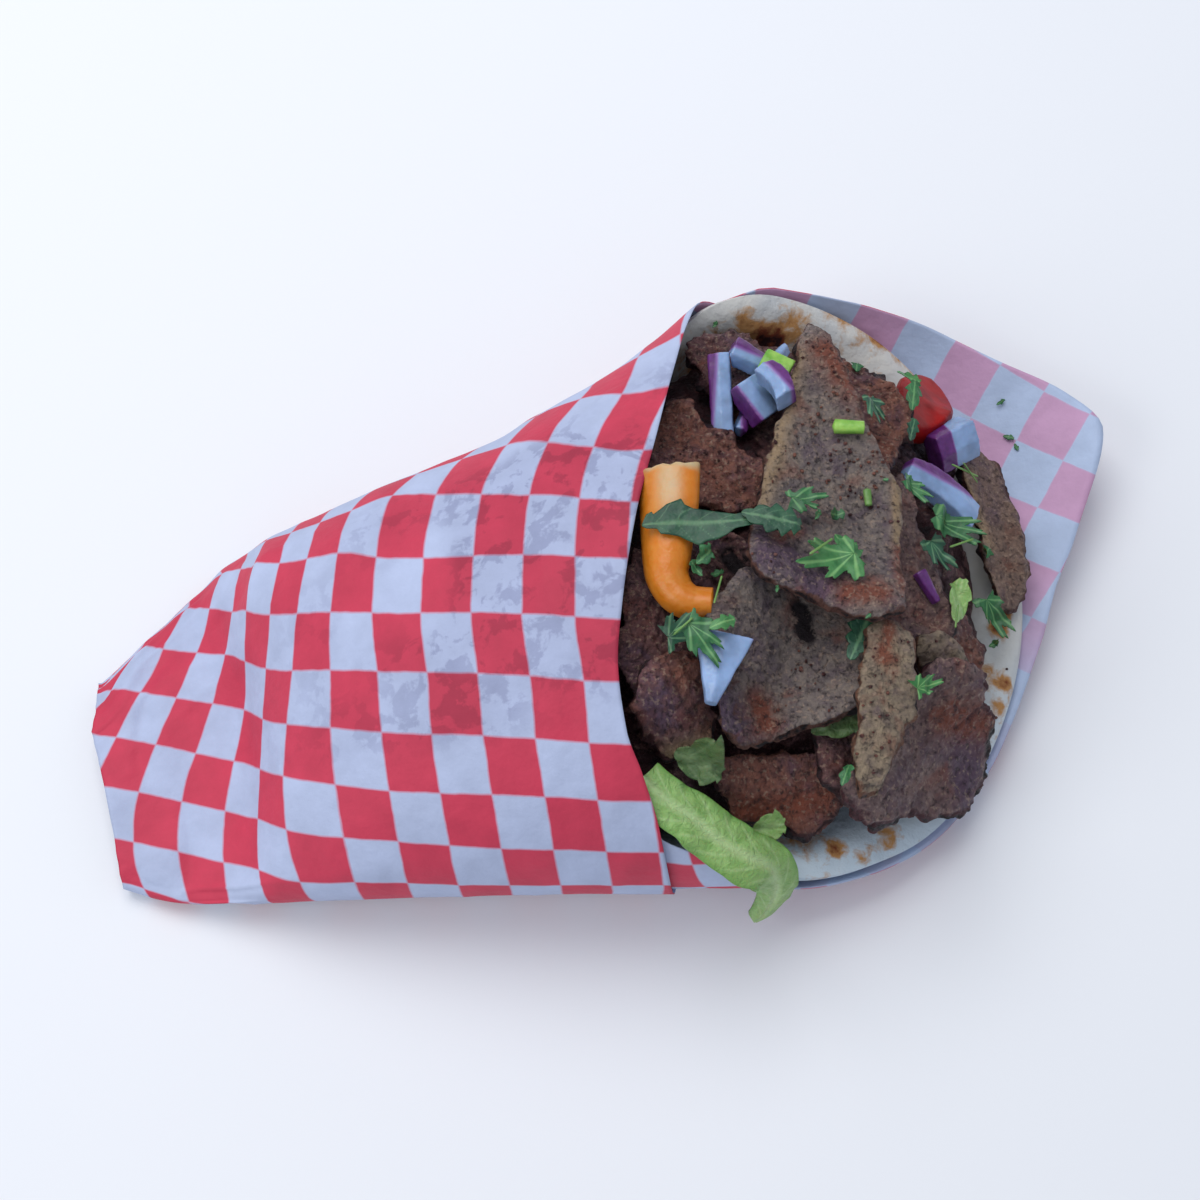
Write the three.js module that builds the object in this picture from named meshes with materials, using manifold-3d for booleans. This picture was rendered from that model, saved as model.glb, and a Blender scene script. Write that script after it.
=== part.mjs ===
// A gyro wrap lying on its back: a round pita rolled into a trough, heaped with shaved meat,
// and wound in one sheet of checked paper that is closed towards the tail and open at the mouth.
// Millimetres. +X runs from the flat tail to the open mouth, +Y to the far side, +Z up, and the
// wrap lies on the plane z = 0.

import * as THREE from 'three';
import { mergeVertices } from 'three/addons/utils/BufferGeometryUtils.js';
import Module from 'manifold-3d';

const wasm = await Module();
wasm.setup();

// ---------------------------------------------------------------- driving dimensions

const PAPER_THICK = 0.6;
const LAP_RISE = 1.3; // the outer turn of paper stands this far off the inner one
const LAP_START = 100; // degrees round the roll where the sheet starts to rise to its outer turn
const LAP_FULL = 190;
const BELLY_FLAT = 1.2; // how far the round belly is pressed flat on the table
const BELLY_POWER = 0.75; // under 1 is squarer than an ellipse
const CROWN_POWER = 1;

const PITA_RADIUS = 89;
const PITA_CENTRE_X = 11;
const PITA_SHIFT = 5; // the disc lies this far towards the far side of the roll
const PITA_THICK = 7;
const PITA_INSET = 1.7; // from the paper's outer face to the pita's underside
const PITA_RINGS = [0, 0.22, 0.44, 0.64, 0.8, 0.9, 0.965, 1];
const PITA_SPOKES = 44;
const RIM_ROUND = 0.9; // share of the radius where the rim starts to round off

const HEAP_INSET = PITA_INSET + PITA_THICK + 3.4;
const HEAP_START = -68;
const HEAP_END = 86;

const LEAF_ROWS = 6;

const GAP = 0.35; // left between pieces that touch
const CELL = 1; // size of a cell of the height map that pieces settle on
const TINY = 1e-6; // areas and volumes below this count as none
const DEG = Math.PI / 180;

// ---------------------------------------------------------------- small helpers

// A smooth curve through [position, value] knots, with no overshoot between them.
function along(knots) {
  const slopes = knots.map((knot, i) => {
    if (i === 0 || i === knots.length - 1) return 0;
    const before = (knot[1] - knots[i - 1][1]) / (knot[0] - knots[i - 1][0]);
    const after = (knots[i + 1][1] - knot[1]) / (knots[i + 1][0] - knot[0]);
    return before * after <= 0 ? 0 : (2 * before * after) / (before + after);
  });
  return (x) => {
    const last = knots.length - 1;
    if (x <= knots[0][0]) return knots[0][1];
    if (x >= knots[last][0]) return knots[last][1];
    let i = 1;
    while (knots[i][0] < x) i += 1;
    const span = knots[i][0] - knots[i - 1][0];
    const t = (x - knots[i - 1][0]) / span;
    const a = knots[i - 1][1];
    const b = knots[i][1];
    const ease = t * t * (3 - 2 * t);
    const outgoing = t * (1 - t) * (1 - t) * span * slopes[i - 1];
    const incoming = t * t * (t - 1) * span * slopes[i];
    return a + (b - a) * ease + outgoing + incoming;
  };
}

function random(seed) {
  let state = seed * 7919 + 17;
  return () => {
    state = (state + 0x6d2b79f5) | 0;
    let t = Math.imul(state ^ (state >>> 15), 1 | state);
    t = (t + Math.imul(t ^ (t >>> 7), 61 | t)) ^ t;
    return ((t ^ (t >>> 14)) >>> 0) / 4294967296;
  };
}

const lerp = THREE.MathUtils.lerp;
const smoothstep = THREE.MathUtils.smoothstep;
const power = (value, exponent) => Math.sign(value) * Math.abs(value) ** exponent;
const vertex = (points, i) => new THREE.Vector3().fromBufferAttribute(points, i);

function signedVolume(positions, indices) {
  const [a, b, c] = [new THREE.Vector3(), new THREE.Vector3(), new THREE.Vector3()];
  let volume = 0;
  for (let i = 0; i < indices.length; i += 3) {
    a.fromArray(positions, indices[i] * 3);
    b.fromArray(positions, indices[i + 1] * 3);
    c.fromArray(positions, indices[i + 2] * 3);
    volume += a.dot(b.cross(c)) / 6;
  }
  return volume;
}

// A closed geometry from its vertices and triangles, with its faces turned outwards.
function closed(positions, indices) {
  if (signedVolume(positions, indices) < 0) indices.reverse();
  const geometry = new THREE.BufferGeometry();
  geometry.setAttribute('position', new THREE.Float32BufferAttribute(positions, 3));
  geometry.setIndex(indices);
  return geometry;
}

// Two grids of points, rows by columns, joined into one thin closed shell.
function shell(rows, columns, front, back) {
  const positions = [];
  for (const face of [front, back]) {
    for (let r = 0; r < rows; r += 1) {
      for (let c = 0; c < columns; c += 1) positions.push(...face(r, c));
    }
  }
  const half = rows * columns;
  const at = (r, c) => r * columns + c;
  const indices = [];
  const quad = (a, b, c, d) => indices.push(a, b, c, a, c, d);
  for (let r = 0; r < rows - 1; r += 1) {
    for (let c = 0; c < columns - 1; c += 1) {
      const [p, q, s, t] = [at(r, c), at(r, c + 1), at(r + 1, c + 1), at(r + 1, c)];
      quad(p, q, s, t);
      indices.push(half + p, half + s, half + q, half + p, half + t, half + s);
    }
  }
  for (let c = 0; c < columns - 1; c += 1) {
    quad(at(0, c + 1), at(0, c), half + at(0, c), half + at(0, c + 1));
    const end = rows - 1;
    quad(at(end, c), at(end, c + 1), half + at(end, c + 1), half + at(end, c));
  }
  for (let r = 0; r < rows - 1; r += 1) {
    quad(at(r, 0), at(r + 1, 0), half + at(r + 1, 0), half + at(r, 0));
    const end = columns - 1;
    quad(at(r + 1, end), at(r, end), half + at(r, end), half + at(r + 1, end));
  }
  return closed(positions, indices);
}

function toSolid(geometry) {
  const bare = geometry.clone();
  bare.deleteAttribute('normal');
  bare.deleteAttribute('uv');
  const merged = mergeVertices(bare, 1e-4);
  return new wasm.Manifold(new wasm.Mesh({
    numProp: 3,
    vertProperties: new Float32Array(merged.attributes.position.array),
    triVerts: new Uint32Array(merged.index.array),
  }));
}

function toGeometry(solid) {
  const mesh = solid.getMesh();
  const geometry = new THREE.BufferGeometry();
  geometry.setAttribute('position', new THREE.BufferAttribute(mesh.vertProperties, 3));
  geometry.setIndex(new THREE.BufferAttribute(mesh.triVerts, 1));
  return geometry;
}

// ---------------------------------------------------------------- the roll's cross-sections

const farSide = along([
  [-124, -22], [-118, -15], [-111, -5], [-102, 3.5], [-88, 11.5], [-68, 19], [-29, 33], [-5, 46],
  [10, 55.5], [23.5, 66], [33, 70], [41, 72], [65, 74], [83, 76],
]);
const nearSide = along([
  [-124, -66], [-113, -69], [-98, -72.5], [-72, -73.5], [33, -74], [45, -77], [65, -81], [83, -84],
]);
const crown = along([
  [-124, 7.5], [-113, 8.5], [-104, 11.5], [-95, 19], [-84, 31], [-70, 41], [-50, 49], [-30, 57],
  [-10, 64], [5, 67.5], [20, 69.5],
]);
const nearWaist = along([[-124, 4], [-100, 5], [-82, 11], [-50, 20], [0, 27], [25, 27], [50, 40], [65, 50]]);
const farWaist = along([[-124, 4], [-100, 5], [-82, 11], [-50, 20], [0, 28], [25, 38], [41, 48], [65, 50]]);
const belly = along([[55, 0], [70, 1.5], [83, 4], [95, 8], [105, 11], [124, 16]]);

// A point of the roll's skin: degrees run 0 at the belly, 90 far side, 180 crown, 270 near side.
function skin(x, degrees, inset) {
  const s = Math.sin(degrees * DEG);
  const c = Math.cos(degrees * DEG);
  const middle = (farSide(x) + nearSide(x)) / 2;
  const half = (farSide(x) - nearSide(x)) / 2;
  const waist = lerp(nearWaist(x), farWaist(x), (1 + s) / 2);
  if (c >= 0) {
    const drop = (waist - belly(x) + BELLY_FLAT - inset) * power(c, BELLY_POWER);
    const z = Math.max(waist - drop, belly(x) + inset);
    return [x, middle + (half - inset) * power(s, BELLY_POWER), z];
  }
  const y = middle + (half - inset) * power(s, CROWN_POWER);
  return [x, y, waist + (crown(x) - waist - inset) * power(-c, CROWN_POWER)];
}

// ---------------------------------------------------------------- paper

const SHEET_START = -117; // degrees: the inner edge, up the near side
const SHEET_END = 297; // the outer edge, once round and tucked under the near side
const SHEET_STEP = 9;
const TAIL_TIP = -124;
const TAIL_SLANT = 0.267;
const TAIL_SQUARE_TO = -29;
const TAIL_ROWS = [-106, -97, -88, -79, -69, -56, -42, -26, -10];
const FRONT_ROWS = 7;

// How far forward the sheet's front edge reaches, by degrees round the roll.
const frontEdge = along([
  [-117, 10], [-108, 20], [-98, 28], [-84, 35], [-72, 42], [-59, 55], [-43.6, 71.5], [-22.6, 90],
  [-4, 103], [8, 114], [28, 122.5], [38, 113.5], [48, 98], [70, 65], [82, 38], [90, 24],
  [120, 18], [153, 10.5], [173, 5], [189, 2.2], [200, 1.2], [215, 3], [225, 6.3], [240, 10],
  [265, 13], [297, 15],
]);

function tailEdge(degrees) {
  const y = skin(TAIL_TIP + 6, degrees, 0)[1];
  return TAIL_TIP + TAIL_SLANT * Math.max(0, TAIL_SQUARE_TO - y);
}

function paper() {
  const columns = (SHEET_END - SHEET_START) / SHEET_STEP + 1;
  const rows = 1 + TAIL_ROWS.length + FRONT_ROWS;
  const place = (row, column, depth) => {
    const degrees = SHEET_START + column * SHEET_STEP;
    const forward = row - TAIL_ROWS.length;
    let x = tailEdge(degrees);
    if (forward > 0) x = lerp(TAIL_ROWS.at(-1), frontEdge(degrees), forward / FRONT_ROWS);
    else if (row > 0) x = TAIL_ROWS[row - 1];
    return skin(x, degrees, depth - LAP_RISE * smoothstep(degrees, LAP_START, LAP_FULL));
  };
  return shell(rows, columns, (r, c) => place(r, c, 0), (r, c) => place(r, c, PAPER_THICK));
}

// ---------------------------------------------------------------- pita

// Degrees round the trough that lie a given length of bread away from the belly line.
function degreesAt(x, length) {
  const step = 2;
  const way = Math.sign(length);
  let left = Math.abs(length);
  let degrees = 0;
  let from = skin(x, 0, PITA_INSET);
  while (left > 0) {
    const to = skin(x, way * (degrees + step), PITA_INSET);
    const stretch = Math.hypot(to[1] - from[1], to[2] - from[2]);
    degrees += step * Math.min(1, left / stretch);
    left -= stretch;
    from = to;
  }
  return way * degrees;
}

function pita() {
  const positions = [];
  const indices = [];
  const wave = (angle, r) => r * (0.35 * Math.sin(5 * angle + 1) + 0.25 * Math.sin(9 * angle));
  const put = (r, angle, side) => {
    const pastRim = Math.max(0, r - RIM_ROUND) / (1 - RIM_ROUND);
    const round = 1 - Math.sqrt(Math.max(0, 1 - pastRim ** 2));
    const x = PITA_CENTRE_X + PITA_RADIUS * r * Math.cos(angle);
    const degrees = degreesAt(x, PITA_SHIFT + PITA_RADIUS * r * Math.sin(angle));
    const outside = PITA_INSET + (PITA_THICK / 2) * round;
    const inside = PITA_INSET + PITA_THICK * (1 - round / 2) + (1 - round) * wave(angle, r);
    positions.push(...skin(x, degrees, side === 0 ? outside : inside));
    return positions.length / 3 - 1;
  };
  const rings = PITA_RINGS.map((r, k) => [0, 1].map((side) => {
    if (k === PITA_RINGS.length - 1 && side === 1) return null;
    const count = k === 0 ? 1 : PITA_SPOKES;
    return Array.from({ length: count }, (_, i) => put(r, (2 * Math.PI * i) / count, side));
  }));
  rings[rings.length - 1][1] = rings[rings.length - 1][0];
  for (const side of [0, 1]) {
    const faces = [];
    for (let i = 0; i < PITA_SPOKES; i += 1) {
      const j = (i + 1) % PITA_SPOKES;
      faces.push([rings[0][side][0], rings[1][side][i], rings[1][side][j]]);
      for (let k = 1; k < rings.length - 1; k += 1) {
        const [near, far] = [rings[k][side], rings[k + 1][side]];
        faces.push([near[i], far[i], far[j]], [near[i], far[j], near[j]]);
      }
    }
    for (const face of faces) indices.push(...(side === 0 ? face : face.reverse()));
  }
  return closed(positions, indices);
}

// ---------------------------------------------------------------- meat heap

const HEAP_ROWS = 19;
const HEAP_HALF_COLUMNS = 13; // as many along the bread below as across the open top
const HEAP_SHY = 10; // the heap stops this far short of the bread's rim
const HEAP_END_REACH = 6; // and is at least this wide, to each side, at its ends
const HEAP_MOUTH = [-14, 10]; // between these it changes from filling the roll to an open dome
const HEAP_DOME = 1.4; // over 1 is more peaked than a round dome
const HEAP_LUMP = 1.4;
const heapCrown = along([[-12, 62], [0, 54], [20, 50], [48, 49], [62, 43], [75, 33], [88, 21]]);
const heapRoof = along([[-40, 2.6], [-12, 9]]); // from the paper down to the heap

// Half the bread's width, rim to rim, measured along the bread.
const breadReach = (x) => Math.sqrt(Math.max(0, PITA_RADIUS ** 2 - (x - PITA_CENTRE_X) ** 2));

// The heap of meat; swell(x, y, z) says how far a point of its top bulges up.
function heap(swell) {
  const positions = [];
  const indices = [];
  const draw = random(5);
  const columns = 2 * HEAP_HALF_COLUMNS;
  for (let r = 0; r <= HEAP_ROWS; r += 1) {
    const x = lerp(HEAP_START, HEAP_END, r / HEAP_ROWS);
    const open = smoothstep(x, ...HEAP_MOUTH);
    const reach = Math.max(HEAP_END_REACH, breadReach(x) - HEAP_SHY);
    const limits = [1, -1].map((side) => degreesAt(x, PITA_SHIFT + side * reach));
    const [far, near] = limits.map((degrees) => skin(x, degrees, HEAP_INSET));
    for (let c = 0; c < columns; c += 1) {
      const share = (c % HEAP_HALF_COLUMNS) / HEAP_HALF_COLUMNS;
      if (c < HEAP_HALF_COLUMNS) {
        positions.push(...skin(x, lerp(limits[1], limits[0], share), HEAP_INSET));
      } else {
        const v = 1 - 2 * share;
        const inset = lerp(HEAP_INSET, heapRoof(x), smoothstep(1 - Math.abs(v), 0, 0.35));
        const roof = skin(x, lerp(limits[0], 360 + limits[1], share), inset);
        const rim = lerp(near[2], far[2], (1 + v) / 2);
        const dome = rim + (heapCrown(x) - rim) * Math.sqrt(Math.max(0, 1 - v * v)) ** HEAP_DOME;
        const lump = share > 0 && x > 0 ? HEAP_LUMP * draw() : 0;
        const y = lerp(roof[1], lerp(near[1], far[1], (1 + v) / 2), open);
        const z = lerp(roof[2], dome, open) - lump;
        positions.push(x, y, share > 0 ? z + open * swell(x, y, z) : z);
      }
    }
  }
  const at = (r, c) => r * columns + (c % columns);
  for (let r = 0; r < HEAP_ROWS; r += 1) {
    for (let c = 0; c < columns; c += 1) {
      indices.push(at(r, c), at(r, c + 1), at(r + 1, c + 1), at(r, c), at(r + 1, c + 1), at(r + 1, c));
    }
  }
  for (let c = 1; c < columns - 1; c += 1) {
    indices.push(at(0, 0), at(0, c + 1), at(0, c));
    indices.push(at(HEAP_ROWS, 0), at(HEAP_ROWS, c), at(HEAP_ROWS, c + 1));
  }
  return closed(positions, indices);
}

// ---------------------------------------------------------------- what pieces settle on

// The height of what already lies in the wrap, cell by cell, seen from above.
class Ground {
  constructor(minX, maxX, minY, maxY) {
    Object.assign(this, { minX, minY });
    this.columns = Math.ceil((maxX - minX) / CELL);
    this.rows = Math.ceil((maxY - minY) / CELL);
    this.height = new Float32Array(this.columns * this.rows);
    this.ceiling = new Float32Array(this.columns * this.rows).fill(Infinity);
  }

  // The first and last cell, along one axis, that some coordinates reach.
  cells(values, start, count) {
    const first = Math.floor((Math.min(...values) - start) / CELL);
    const last = Math.floor((Math.max(...values) - start) / CELL);
    return [Math.max(0, first), Math.min(count - 1, last)];
  }

  // Calls visit(cell, z) for every cell that a triangle of the geometry covers.
  walk(geometry, visit) {
    const points = geometry.attributes.position;
    const index = geometry.index;
    for (let i = 0; i < index.count; i += 3) {
      const corners = [0, 1, 2].map((k) => vertex(points, index.getX(i + k)));
      const [a, b, c] = corners;
      const area = (b.x - a.x) * (c.y - a.y) - (c.x - a.x) * (b.y - a.y);
      if (Math.abs(area) < TINY) continue;
      const [left, right] = this.cells(corners.map((p) => p.x), this.minX, this.columns);
      const [bottom, top] = this.cells(corners.map((p) => p.y), this.minY, this.rows);
      for (let row = bottom; row <= top; row += 1) {
        for (let column = left; column <= right; column += 1) {
          const x = this.minX + (column + 0.5) * CELL;
          const y = this.minY + (row + 0.5) * CELL;
          const v = ((b.x - x) * (c.y - y) - (c.x - x) * (b.y - y)) / area;
          const w = ((c.x - x) * (a.y - y) - (a.x - x) * (c.y - y)) / area;
          if (Math.min(v, w, 1 - v - w) < -TINY) continue;
          visit(row * this.columns + column, v * a.z + w * b.z + (1 - v - w) * c.z);
        }
      }
    }
  }

  raise(geometry) {
    this.walk(geometry, (cell, z) => { this.height[cell] = Math.max(this.height[cell], z); });
  }

  // Notes the underside of a piece, so that ceilingOver can find it.
  roof(geometry) {
    this.walk(geometry, (cell, z) => { this.ceiling[cell] = Math.min(this.ceiling[cell], z); });
  }

  // The lowest underside within reach of a place.
  ceilingOver(x, y, reach) {
    const [left, right] = this.cells([x - reach, x + reach], this.minX, this.columns);
    const [bottom, top] = this.cells([y - reach, y + reach], this.minY, this.rows);
    let lowest = Infinity;
    for (let row = bottom; row <= top; row += 1) {
      for (let column = left; column <= right; column += 1) {
        lowest = Math.min(lowest, this.ceiling[row * this.columns + column]);
      }
    }
    return lowest;
  }

  // How far a piece has to rise, or may sink, to rest on the ground with a share of it sunk in.
  lift(geometry, sunk) {
    const lifts = new Map();
    this.walk(geometry, (cell, z) => {
      lifts.set(cell, Math.max(lifts.get(cell) ?? -Infinity, this.height[cell] - z));
    });
    const sorted = [...lifts.values()].sort((a, b) => b - a);
    return sorted[Math.floor(sunk * (sorted.length - 1))];
  }

  // A smooth sheet over the ground that never dips into it: the shape a slice drapes to.
  drape(slack) {
    const reach = Math.round(slack / CELL);
    const width = 2 * reach + 1;
    const pass = (source, stride, length, lines, lineStride, merge, share) => {
      const out = new Float32Array(source.length);
      for (let line = 0; line < lines; line += 1) {
        for (let i = 0; i < length; i += 1) {
          let value = 0;
          for (let k = -reach; k <= reach; k += 1) {
            const j = THREE.MathUtils.clamp(i + k, 0, length - 1);
            value = merge(value, source[line * lineStride + j * stride]);
          }
          out[line * lineStride + i * stride] = value * share;
        }
      }
      return out;
    };
    const both = (source, merge, share) => {
      const half = pass(source, 1, this.columns, this.rows, this.columns, merge, share);
      return pass(half, this.columns, this.rows, this.columns, 1, merge, share);
    };
    const highest = both(this.height, (a, b) => (a > b ? a : b), 1);
    const sheet = both(highest, (a, b) => a + b, 1 / width);
    return (x, y) => {
      const u = THREE.MathUtils.clamp((x - this.minX) / CELL - 0.5, 0, this.columns - 1.001);
      const v = THREE.MathUtils.clamp((y - this.minY) / CELL - 0.5, 0, this.rows - 1.001);
      const cell = Math.floor(v) * this.columns + Math.floor(u);
      const low = lerp(sheet[cell], sheet[cell + 1], u % 1);
      return lerp(low, lerp(sheet[cell + this.columns], sheet[cell + this.columns + 1], u % 1), v % 1);
    };
  }
}

// ---------------------------------------------------------------- slices, leaves and strips

const TORN_FULL_LENGTH = 80; // a shorter outline is torn less deeply

// An outline through a few corners, rounded, resampled and torn a little.
function tornOutline(corners, count, torn, seed) {
  const draw = random(seed);
  const points = corners.map(([x, y]) => new THREE.Vector3(x, y, 0));
  const curve = new THREE.CatmullRomCurve3(points, true, 'chordal');
  const reach = torn * Math.min(1, curve.getLength() / TORN_FULL_LENGTH);
  return Array.from({ length: count }, (_, i) => {
    const here = curve.getPointAt(i / count);
    const ahead = curve.getTangentAt(i / count);
    const bite = reach * (draw() + draw() - 1);
    return new THREE.Vector2(here.x + ahead.y * bite, here.y - ahead.x * bite);
  });
}

const SLAB_RINGS = [0.5, 0.88, 1]; // shares of the way from the middle to the outline

// A slab inside an outline whose underside follows a sheet, its edge thinned.
function slab(outline, thick, under, { edge = 0.55, rough = 0.5, seed = 1 } = {}) {
  const draw = random(seed);
  const middle = outline.reduce((sum, p) => sum.add(p), new THREE.Vector2()).divideScalar(outline.length);
  const count = outline.length;
  const positions = [];
  const indices = [];
  const put = (r, rim, top) => {
    const p = middle.clone().lerp(rim, r);
    const share = r < 1 ? [0, 1] : [(1 - edge) / 2, (1 + edge) / 2];
    const lump = top === 1 && r > 0 && r < 1 ? rough * (draw() - 0.5) : 0;
    positions.push(p.x, p.y, under(p.x, p.y) + thick * share[top] + lump);
    return positions.length / 3 - 1;
  };
  const sides = [0, 1].map((top) => {
    const hub = [put(0, outline[0], top)];
    return [hub, ...SLAB_RINGS.map((r) => outline.map((rim) => put(r, rim, top)))];
  });
  sides.forEach((ring, top) => {
    for (let i = 0; i < count; i += 1) {
      const j = (i + 1) % count;
      const faces = [[ring[0][0], ring[1][i], ring[1][j]]];
      for (let k = 1; k < ring.length - 1; k += 1) {
        faces.push([ring[k][i], ring[k + 1][i], ring[k + 1][j]], [ring[k][i], ring[k + 1][j], ring[k][j]]);
      }
      for (const face of faces) indices.push(...(top === 1 ? face : face.reverse()));
    }
  });
  const [low, high] = sides.map((ring) => ring[ring.length - 1]);
  for (let i = 0; i < count; i += 1) {
    const j = (i + 1) % count;
    indices.push(low[i], low[j], high[j], low[i], high[j], high[i]);
  }
  return closed(positions, indices);
}

// A strip along a path, wide across it, arched and of even thickness: pepper, lettuce and stems.
// Where the path dives, hang gives the direction that its width then takes.
function strip(path, width, thick, { steps, arch = 0, ripple = 0, lean = 0, hang = null }) {
  const across = 4;
  const curve = new THREE.CatmullRomCurve3(path.map((p) => new THREE.Vector3(...p)));
  const grid = (top) => (row, column) => {
    const t = row / (steps - 1);
    const v = (2 * column) / (across - 1) - 1;
    const here = curve.getPointAt(t);
    const ahead = curve.getTangentAt(t);
    const side = new THREE.Vector3(ahead.y, -ahead.x, 0).normalize();
    if (hang) {
      side.lerp(hang, smoothstep(t, 0.5, 0.75));
      side.addScaledVector(ahead, -side.dot(ahead)).normalize();
    }
    side.applyAxisAngle(ahead, lean * DEG);
    const up = new THREE.Vector3().crossVectors(side, ahead).normalize();
    const bulge = arch * (1 - v * v) + ripple * Math.sin(9 * t + 2 * v) * Math.abs(v);
    return here.addScaledVector(side, (v * width(t)) / 2).addScaledVector(up, bulge + top * thick).toArray();
  };
  return shell(steps, across, grid(1), grid(0));
}

// A small leaf lying over whatever is below it: pointed at both ends, rippled and of even thickness.
function leaf({ x, y, length, width, turn, thick = 0.7, ripple = 0.5 }, under) {
  const [c, s] = [Math.cos(turn * DEG), Math.sin(turn * DEG)];
  const grid = (top) => (row, column) => {
    const u = row / (LEAF_ROWS - 1);
    const v = column / 2 - 0.5;
    const half = width * Math.sin(Math.PI * (0.08 + 0.84 * u)) ** 0.8;
    const [forward, across] = [(u - 0.5) * length, v * half + (row % 2 ? 0.06 : -0.06) * width];
    const at = [x + forward * c - across * s, y + forward * s + across * c];
    const wave = ripple * (1 + Math.sin(7 * u + 5 * v));
    return [...at, under(...at) + 1.5 * GAP + wave + top * thick];
  };
  return shell(LEAF_ROWS, 3, grid(1), grid(0));
}

// A piece of onion layer: a small block, tapered, bent in an arc and crowned on top.
function onionPiece({ length, width, thick, bend = 0, taper = 0 }) {
  const grid = (top) => (row, column) => {
    const u = row / 4 - 0.5;
    const v = column / 2 - 0.5;
    const narrow = 1 - taper * (u + 0.5);
    return [u * length, v * width * narrow + bend * (1 - 4 * u * u), top * thick * (1 - 0.6 * v * v)];
  };
  return shell(5, 3, grid(1), grid(0));
}

// ---------------------------------------------------------------- assembly

const group = new THREE.Group();
const ground = new Ground(-6, 128, -90, 90);
const placed = []; // solids in the order they were laid, each with its box

const FINISH = {
  paper: [0xe8ecf4, 0.75], pita: [0xe6d9bd, 0.85], heap: [0x4a3428, 0.9], slice: [0x84705f, 0.8],
  crust: [0x5a352a, 0.8], onion: [0xd9cfe6, 0.4], pepper: [0xf09030, 0.35], tomato: [0xc22018, 0.3],
  lettuce: [0x9ccb5a, 0.5], parsley: [0x2f7a3c, 0.6],
};

function boxOf(geometry) {
  geometry.computeBoundingBox();
  return geometry.boundingBox.clone().expandByScalar(2 * GAP);
}

// Cuts from a piece whatever it would share with its neighbours, with a gap left all round.
function clear(geometry, neighbours = placed) {
  const box = boxOf(geometry);
  let solid = toSolid(geometry);
  const shifts = [[0, 0, GAP], [0, 0, -GAP], [GAP, 0, 0], [-GAP, 0, 0], [0, GAP, 0], [0, -GAP, 0]];
  for (const other of neighbours) {
    if (!other.box.intersectsBox(box)) continue;
    const grown = shifts.map((shift) => toSolid(other.geometry.clone().translate(...shift)));
    if (grown.every((copy) => solid.intersect(copy).volume() < TINY)) continue;
    for (const copy of grown) solid = solid.subtract(copy);
  }
  const parts = solid.decompose().sort((a, b) => b.volume() - a.volume());
  return toGeometry(parts[0]);
}

function add(name, geometry, finish) {
  const [color, roughness] = FINISH[finish];
  const faceted = geometry.index ? geometry.clone() : mergeVertices(geometry);
  const mesh = new THREE.Mesh(faceted, new THREE.MeshStandardMaterial({ color, roughness, metalness: 0 }));
  mesh.name = name;
  group.add(mesh);
  placed.push({ name, geometry: faceted, box: boxOf(faceted) });
}

function lay(name, geometry, finish) {
  const cut = clear(geometry);
  add(name, cut, finish);
  ground.raise(cut);
}

add('wrap_paper', paper(), 'paper');
lay('pita', pita(), 'pita');
lay('meat_heap', heap(() => 0), 'heap');

const LEAN_BASE = 4; // the slope under a piece is taken between points this far to each side

// Sets a loose piece down on the plan, leaning with the slope there, and lets it sink until most
// of it rests; what would then cut into the pieces below is trimmed off its underside.
function settle(name, geometry, finish, { x = 0, y = 0, turn = 0, tilt = 0, sunk = 0.15, lean = 0 } = {}) {
  geometry.rotateX(tilt * DEG);
  geometry.rotateZ(turn * DEG);
  if (lean > 0) {
    const under = ground.drape(2);
    const rise = (dx, dy) => (under(x + dx, y + dy) - under(x - dx, y - dy)) / (2 * (dx + dy));
    const normal = new THREE.Vector3(-rise(LEAN_BASE, 0), -rise(0, LEAN_BASE), 1).normalize();
    const full = new THREE.Quaternion().setFromUnitVectors(new THREE.Vector3(0, 0, 1), normal);
    geometry.applyQuaternion(new THREE.Quaternion().slerp(full, lean));
  }
  geometry.translate(x, y, 0);
  geometry.translate(0, 0, ground.lift(geometry, sunk) + GAP);
  lay(name, geometry, finish);
}

const drapeLeaf = (piece, finish) => lay(piece.name, leaf(piece, ground.drape(2)), finish);

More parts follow.
